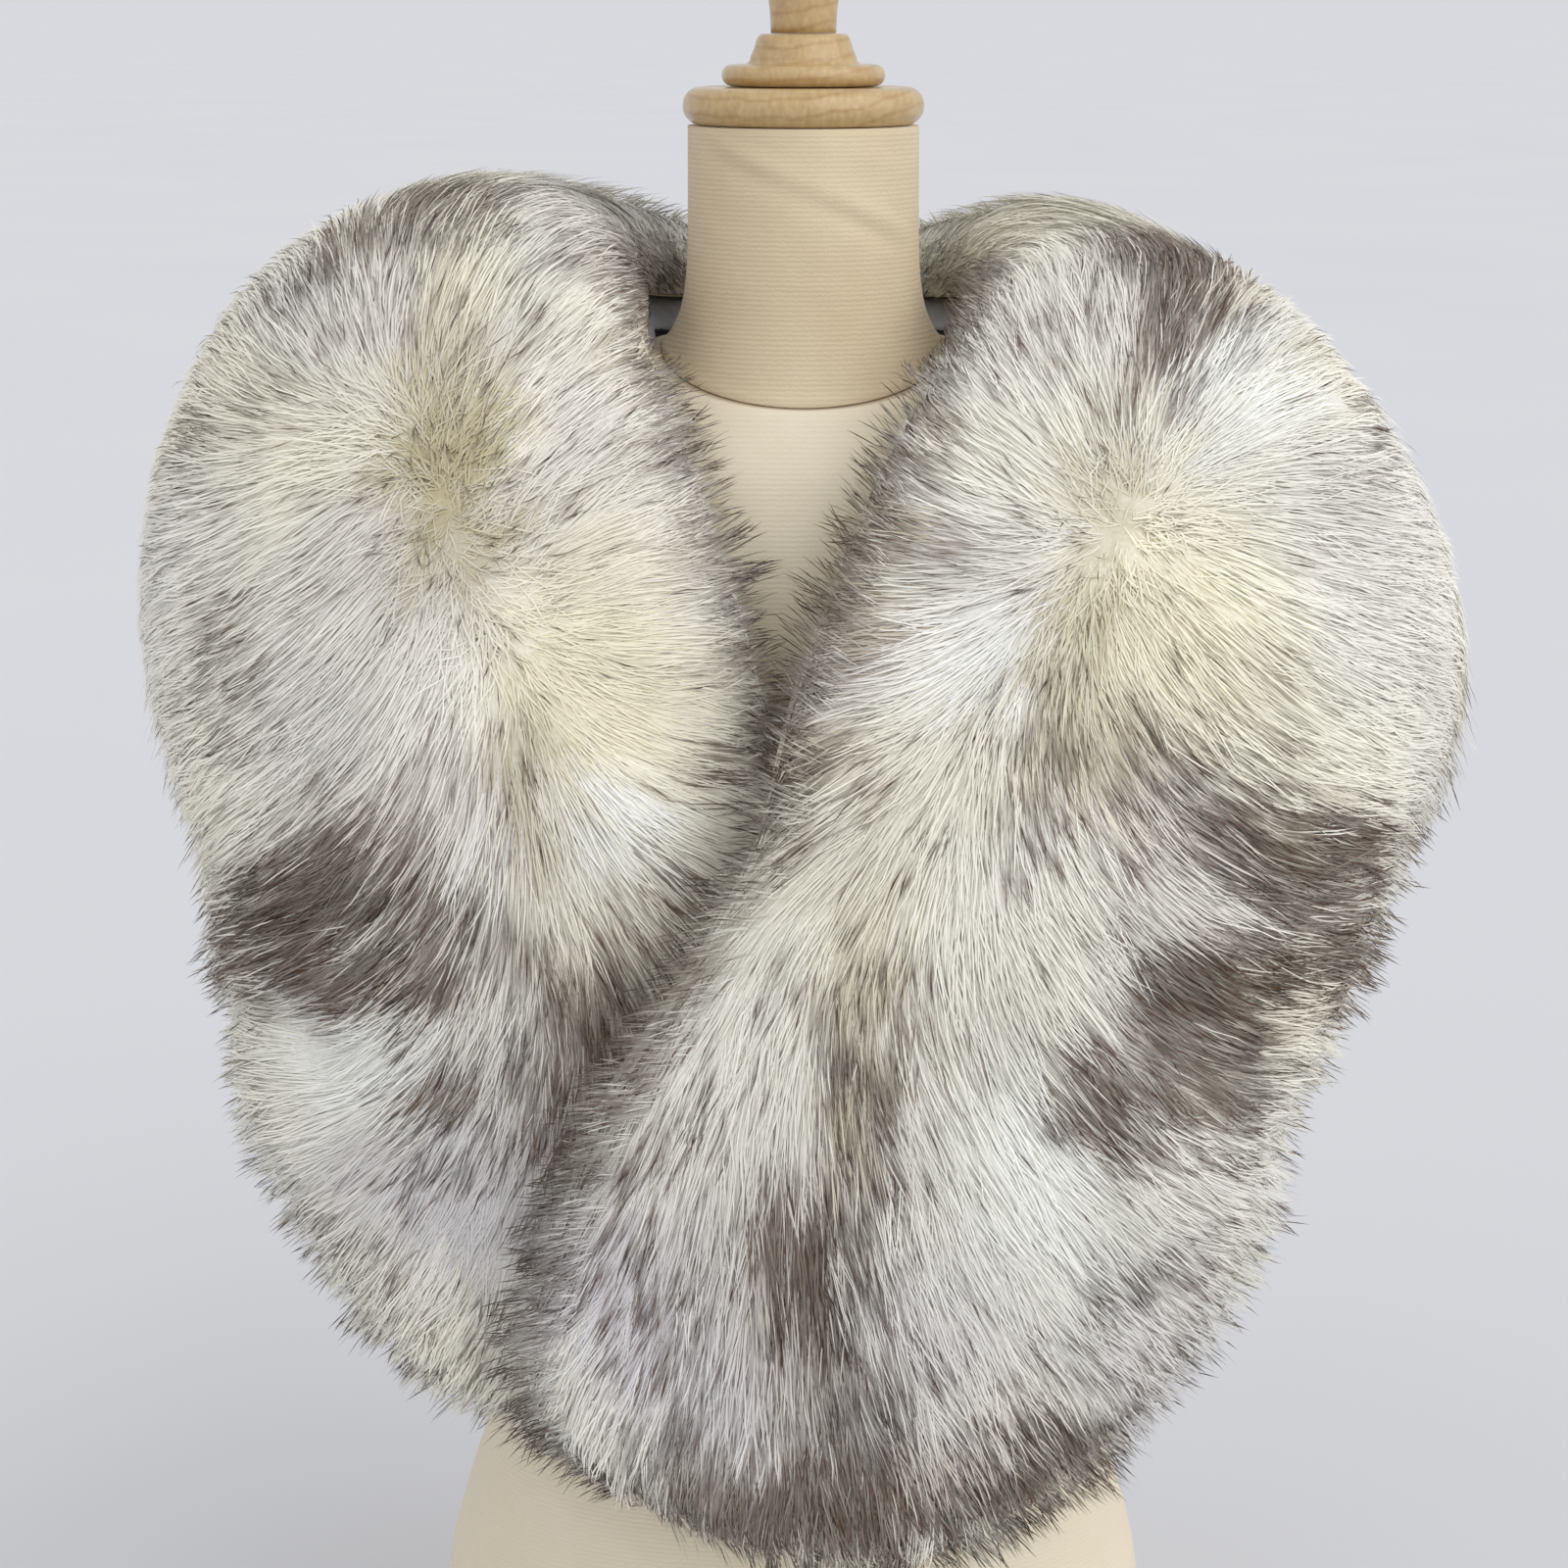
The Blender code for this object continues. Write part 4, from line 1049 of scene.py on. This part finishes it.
def pelt(pile, label, material):
    """The leather of one half, behind the undercoat."""
    stations = np.linspace(0.0, pile.last - 0.6, 60)
    t = (1.0 - np.cos(np.linspace(0.25, math.pi - 0.25, 17))) / 2.0
    sheet, normals = sheet_frame(pile.rows, pile.side, stations, t)
    depth = LEATHER_FRONT * thinned(pile, stations, t)
    points = sheet - normals * (depth + 0.15)[..., None]
    points[0, :, 0] = pile.side * 0.15
    return grid_sheet(f"pelt_{label}", points, material, LEATHER_THICK)


# Dress form.

RING_COLUMNS = ("height", "half", "front", "back", "fall", "square")
TORSO_RINGS = (
    (0, 165, 100, 110, 0, 2.3), (40, 168, 104, 116, 0, 2.3), (95, 167, 106, 118, 0, 2.3),
    (138, 157, 103, 115, 0, 2.3), (185, 142, 96, 105, 0, 2.3), (245, 124, 86, 90, 0, 2.2),
    (305, 118, 80, 80, 0, 2.2), (365, 124, 86, 81, 0, 2.2), (420, 133, 97, 86, 0, 2.3),
    (462, 140, 107, 91, 0, 2.3), (502, 146, 113, 96, 0, 2.3), (540, 154, 109, 99, 3, 2.3),
    (572, 164, 101, 100, 7, 2.3), (602, 172, 92, 99, 11, 2.3), (622, 174, 86, 96, 14, 2.3),
    (640, 170, 80, 92, 17, 2.2), (654, 156, 75, 86, 19, 2.1), (666, 130, 69, 79, 21, 2.0),
    (676, 100, 63, 71, 22, 2.0), (682, 78, 59, 65, 22, 2.0), (684.6, 63.5, 56, 60, 22, 2.0),
)
NECK_RINGS = (
    (685, 63.5, 56, 60, 22, 2.0), (692, 58.4, 53.6, 57.2, 20, 2.0), (702, 54.2, 51.6, 55, 16, 2.0),
    (717, 51.8, 50.2, 53, 11, 2.0), (740, 51.0, 49.8, 52, 5, 2.0), (780.5, 50.7, 49.6, 51.6, 0, 2.0),
)
BODY_SEGMENTS = 128
HIP_LEAN = -5.0
BACK_RISE_SHARE = 0.25
LEAN_TOP = 660.0

# Soft wrinkles of the neck's canvas: from and to as angle in degrees from the front and height, then how wide
# and how high they are. Angles grow towards the viewer's right.
NECK_ROWS = 15
WRINKLES = (
    (-54, 777, -3, 759, 3.8, 1.5),
    (-54, 771, -3, 752, 3.4, -1.0),
    (-2, 759, 58, 736, 4.2, 1.4),
    (-2, 752, 56, 729, 3.6, -1.0),
    (14, 774, 64, 760, 3.6, 0.5),
    (-70, 742, -28, 731, 4.0, 0.4),
    (-10, 716, 30, 708, 4.0, 0.3),
)


def finer_rings(rows, per_row):
    """A table's rows with smooth ones between them."""
    table = np.array(rows, dtype=float)
    ends = np.vstack([2 * table[0] - table[1], table, 2 * table[-1] - table[-2]])
    made = [spline(*ends[i:i + 4], k / per_row) for i in range(len(table) - 1) for k in range(per_row)]
    return made + [table[-1]]


def body_ring(row, swell=0.0, wrinkles=()):
    ring = dict(zip(RING_COLUMNS, row))
    lean = HIP_LEAN * max(0.0, 1.0 - ring["height"] / LEAN_TOP)
    power = 2.0 / ring["square"]
    points = []
    for k in range(BODY_SEGMENTS):
        angle = 2.0 * math.pi * k / BODY_SEGMENTS
        c, s = math.cos(angle), math.sin(angle)
        across = math.copysign(abs(c) ** power, c)
        deep = math.copysign(abs(s) ** power, s)
        depth, slope = ring["front"], ring["fall"]
        if s > 0:
            depth, slope = ring["back"], ring["fall"] * BACK_RISE_SHARE
        height = ring["height"] + deep * slope
        grown = swell
        from_front = math.degrees(math.atan2(c, -s))
        for a0, z0, a1, z1, wide, high in wrinkles:
            x, y = from_front * 0.9, height
            dx, dy = (a1 - a0) * 0.9, z1 - z0
            share = min(1.0, max(0.0, ((x - a0 * 0.9) * dx + (y - z0) * dy) / (dx * dx + dy * dy)))
            away = math.hypot(x - a0 * 0.9 - share * dx, y - z0 - share * dy)
            grown += high * math.exp(-(away / wide) ** 2) * math.sin(math.pi * (0.1 + 0.8 * share))
        points.append((lean + across * (ring["half"] + grown), deep * (depth + grown), height))
    return points


# How brown the neck seam is above and below, and the ridge that it raises in the rings next to it.
SEAM_ABOVE = 0.75
SEAM_BELOW = 0.8
RIDGE_HIGH = 0.25
RIDGE_RING = 5
RIDGE_WIDE = 3.0
SEAM_TUCK = 0.2


def build_form(canvas, ribbed):
    rings = [body_ring(row) for row in finer_rings(TORSO_RINGS, 3)]
    torso = loft_rings("canvas_torso", rings, canvas)
    seam = np.zeros(len(rings) * BODY_SEGMENTS)
    seam[-BODY_SEGMENTS:] = SEAM_BELOW
    add_attribute(torso.data, "seam", seam)
    rings = []
    for k, row in enumerate(finer_rings(NECK_RINGS, NECK_ROWS)):
        ridge = RIDGE_HIGH * math.exp(-((k - RIDGE_RING) / RIDGE_WIDE) ** 2) - (SEAM_TUCK if k == 0 else 0.0)
        rings.append(body_ring(row, ridge, WRINKLES))
    neck = loft_rings("canvas_neck", rings, ribbed)
    seam = np.zeros(len(rings) * BODY_SEGMENTS)
    seam[:BODY_SEGMENTS] = SEAM_ABOVE
    add_attribute(neck.data, "seam", seam)
    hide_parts("form_torso")
    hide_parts("form_neck")
    return [torso, neck]


CAP_BASE = 780.8
CAP_GAP = 0.3
CAP_CENTRE_Y = 1.0
CAP_STEPS = 96


def turn_on_lathe(name, profile, material):
    """A wooden piece spun from (radius, height) pairs that start and end on its axis."""
    body = bmesh.new()
    made = [body.verts.new(Vector((r * MM, CAP_CENTRE_Y * MM, z * MM))) for r, z in profile]
    edges = [body.edges.new(pair) for pair in zip(made, made[1:])]
    bmesh.ops.spin(body, geom=made + edges, cent=(0, CAP_CENTRE_Y * MM, 0), axis=(0, 0, 1),
                   angle=2 * math.pi, steps=CAP_STEPS, use_merge=True)
    bmesh.ops.remove_doubles(body, verts=body.verts, dist=1e-6)
    bmesh.ops.recalc_face_normals(body, faces=body.faces)
    return finish_mesh(name, body, material)


def bullnose(radius, nose, low, high, steps=14):
    pairs = []
    middle, half = (low + high) / 2.0, (high - low) / 2.0
    for k in range(steps + 1):
        angle = -math.pi / 2 + math.pi * k / steps
        pairs.append((radius - nose + nose * math.cos(angle), middle + half * math.sin(angle)))
    return pairs


def quarter(steps):
    """Sine and cosine from 0 up to, and without, a quarter turn."""
    return [(math.sin(a), math.cos(a)) for a in (math.pi / 2 * k / steps for k in range(steps))]


def build_cap(material):
    top = CAP_BASE + 16.2
    disc = [(0, CAP_BASE)] + bullnose(53.0, 7.4, CAP_BASE, top) + [(0, top)]
    low = top + CAP_GAP
    ring_top, cone_top = low + 9.2, low + 22.2
    boss = [(0, low)] + bullnose(35.8, 4.4, low, ring_top)
    boss += [(26.4 - 3.2 * s, ring_top + 3.2 * (1 - c)) for s, c in quarter(8) + [(1.0, 0.0)]]
    boss += [(21.6, ring_top + 7.0), (20.8, cone_top - 3.2), (20.3, cone_top - 2.0),
             (19.6, cone_top - 0.8), (18.4, cone_top), (0, cone_top)]
    low = cone_top + CAP_GAP
    finial = [(0, low), (14.3, low), (14.5, low + 5), (14.7, low + 9), (15.3, low + 14)]
    finial += [(16.0 * c, low + 18.0 + 14.0 * s) for s, c in quarter(16)] + [(0, low + 32.0)]
    disc = turn_on_lathe("birch_disc", disc, material)
    boss = turn_on_lathe("birch_boss", boss, material)
    finial = turn_on_lathe("birch_finial", finial, material)
    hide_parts("cap_disc")
    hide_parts("cap_boss")
    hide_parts("cap_finial")
    return [disc, boss, finial]


# Lining.

LINING_SHORT = 2.2
LINING_GAP = 0.3
LINING_THICK = 0.8
LINING_INSET = 0.62
PUCKER_HIGH = 2.6
SLACK_BELOW_EDGE = 6.0
SLACK_REACH = 12.0
SLACK_DROP = {-1: 11.4, 1: 10.1}
SLACK_LEAST = 0.12
SLACK_FULL_UNTIL = 4.6
SLACK_LEAST_FROM = 6.2
SLACK_SAGS_FROM = 2.5


def lining(pile, label, material):
    """The satin of one half, with the slack that shows beside the neck, gathered in small puckers."""
    stations = np.linspace(0.0, pile.last - LINING_SHORT, 120)
    t = (1.0 - np.cos(np.linspace(LINING_INSET, math.pi - LINING_INSET, 16))) / 2.0
    sheet, normals = sheet_frame(pile.rows, pile.side, stations, t)
    depth = PELT_BACK * thinned(pile, stations, t) + LINING_GAP
    upper = sheet - normals * depth[..., None]
    edge, out = sheet_frame(pile.rows, pile.side, stations, np.zeros(1))
    below = (edge - out * SLACK_BELOW_EDGE)[:, 0]
    inward = -edge[:, 0, :2] / np.linalg.norm(edge[:, 0, :2], axis=1)[:, None]
    sag = SLACK_DROP[pile.side] * smooth_step(stations / SLACK_SAGS_FROM)[:, None]
    end = below + np.concatenate([inward * SLACK_REACH, -sag], axis=1)
    share = smooth_step((SLACK_LEAST_FROM - stations) / (SLACK_LEAST_FROM - SLACK_FULL_UNTIL))[:, None]
    share = SLACK_LEAST + (1.0 - SLACK_LEAST) * share
    start = upper[:, 0]
    slack = []
    for q in np.linspace(1.0, 0.0, 11)[:-1]:
        point = (1 - q) ** 2 * start + 2 * q * (1 - q) * below + q ** 2 * end
        pucker = PUCKER_HIGH * q * (1.2 - q) * np.sin(stations * 17.0 + 2.0 * np.sin(stations * 5.0))[:, None]
        slack.append(start + (point - start) * share + np.array((0.0, 0.0, 1.0)) * np.abs(pucker) * share)
    points = np.concatenate([np.stack(slack, axis=1), upper], axis=1)
    points[0, :, 0] = pile.side * 0.15
    return grid_sheet(f"satin_{label}", points, material, LINING_THICK)


# Stage.

FLOOR_HALF = 2000.0
WORLD_STRENGTH = 0.80
LAMP_COLUMNS = ("name", "towards", "spread", "strength")
LAMPS = (
    ("key_window", (1.5, -1.15, 1.15), 75.0, 1.55),
    ("fill_window", (-1.0, -1.0, 0.9), 60.0, 0.30),
)


def build_stage():
    body = bmesh.new()
    bmesh.ops.create_grid(body, x_segments=1, y_segments=1, size=FLOOR_HALF)
    material, add, shader = new_material("pale_matt_floor")
    place = add("ShaderNodeTexCoord")
    grain = add("ShaderNodeTexNoise", {"Scale": 0.8, "Detail": 2.0}, Vector=(place, "Object"))
    colour = add("ShaderNodeValToRGB", stops=((0.0, "#D6D7DB"), (1.0, "#DBDCDF")), Fac=(grain, "Fac"))
    add(shader, {"Roughness": 0.95, "Specular IOR Level": 0.0}, Base_Color=(colour, "Color"))
    floor = finish_mesh("studio_floor", body, material)

    world = bpy.data.worlds.new("soft_studio")
    bpy.context.scene.world = world
    world.use_nodes = True
    background = world.node_tree.nodes["Background"]
    background.inputs["Color"].default_value = srgb("#EFEFF1")
    background.inputs["Strength"].default_value = WORLD_STRENGTH

    for values in LAMPS:
        lamp = dict(zip(LAMP_COLUMNS, values))
        light = bpy.data.lights.new(lamp["name"], "SUN")
        light.angle = math.radians(lamp["spread"])
        light.energy = lamp["strength"]
        hung = bpy.data.objects.new(lamp["name"], light)
        bpy.context.scene.collection.objects.link(hung)
        hung.rotation_euler = Vector(lamp["towards"]).to_track_quat("Z", "Y").to_euler()

    camera = bpy.data.cameras.new("photo_camera")
    camera.sensor_fit = "HORIZONTAL"
    camera.angle = 2 * math.atan(PHOTO_HALF / PHOTO_FOCAL)
    camera.clip_end = 6000.0
    seen = bpy.data.objects.new("photo_camera", camera)
    bpy.context.scene.collection.objects.link(seen)
    seen.location = CAMERA_PLACE
    seen.rotation_euler = (math.radians(90.0) - math.atan(CAMERA_DROP / PHOTO_FOCAL), 0.0, 0.0)
    bpy.context.scene.camera = seen
    bpy.context.scene.view_settings.view_transform = "Standard"


def main():
    build_stage()
    # The same canvas twice: the neck's copy is ribbed more deeply, and its darker tints are painted shade.
    canvas = canvas_material("plain_cotton_canvas", 0.975, ("#DDD1BA", "#E1D6BF", "#E5DBC6"))
    ribbed = canvas_material("ribbed_cotton_canvas_painted_shade", 0.94, ("#CCB999", "#D3C2A3", "#D9CAAC"))
    birch = wood_material()
    satin = satin_material()
    leather = leather_material()
    wool = wool_material()
    hair = {name: hair_material(f"fox_{name}_hair", rough) for name, rough in HAIR_ROUGHNESS.items()}
    for piece in build_form(canvas, ribbed):
        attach(piece, "root")
    for piece in build_cap(birch):
        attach(piece, "root")
    for side, label in ((-1, "left"), (1, "right")):
        pile = Pile(side)
        coat = undercoat(pile, label, wool)
        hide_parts(f"fur_{label}")
        pieces = [coat] + grow_half(pile, label, hair)
        skin = pelt(pile, label, leather)
        for piece in pieces + [skin]:
            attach(piece, "root")
        cloth = lining(pile, label, satin)
        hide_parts(f"lining_{label}")
        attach(cloth, "root")


main()
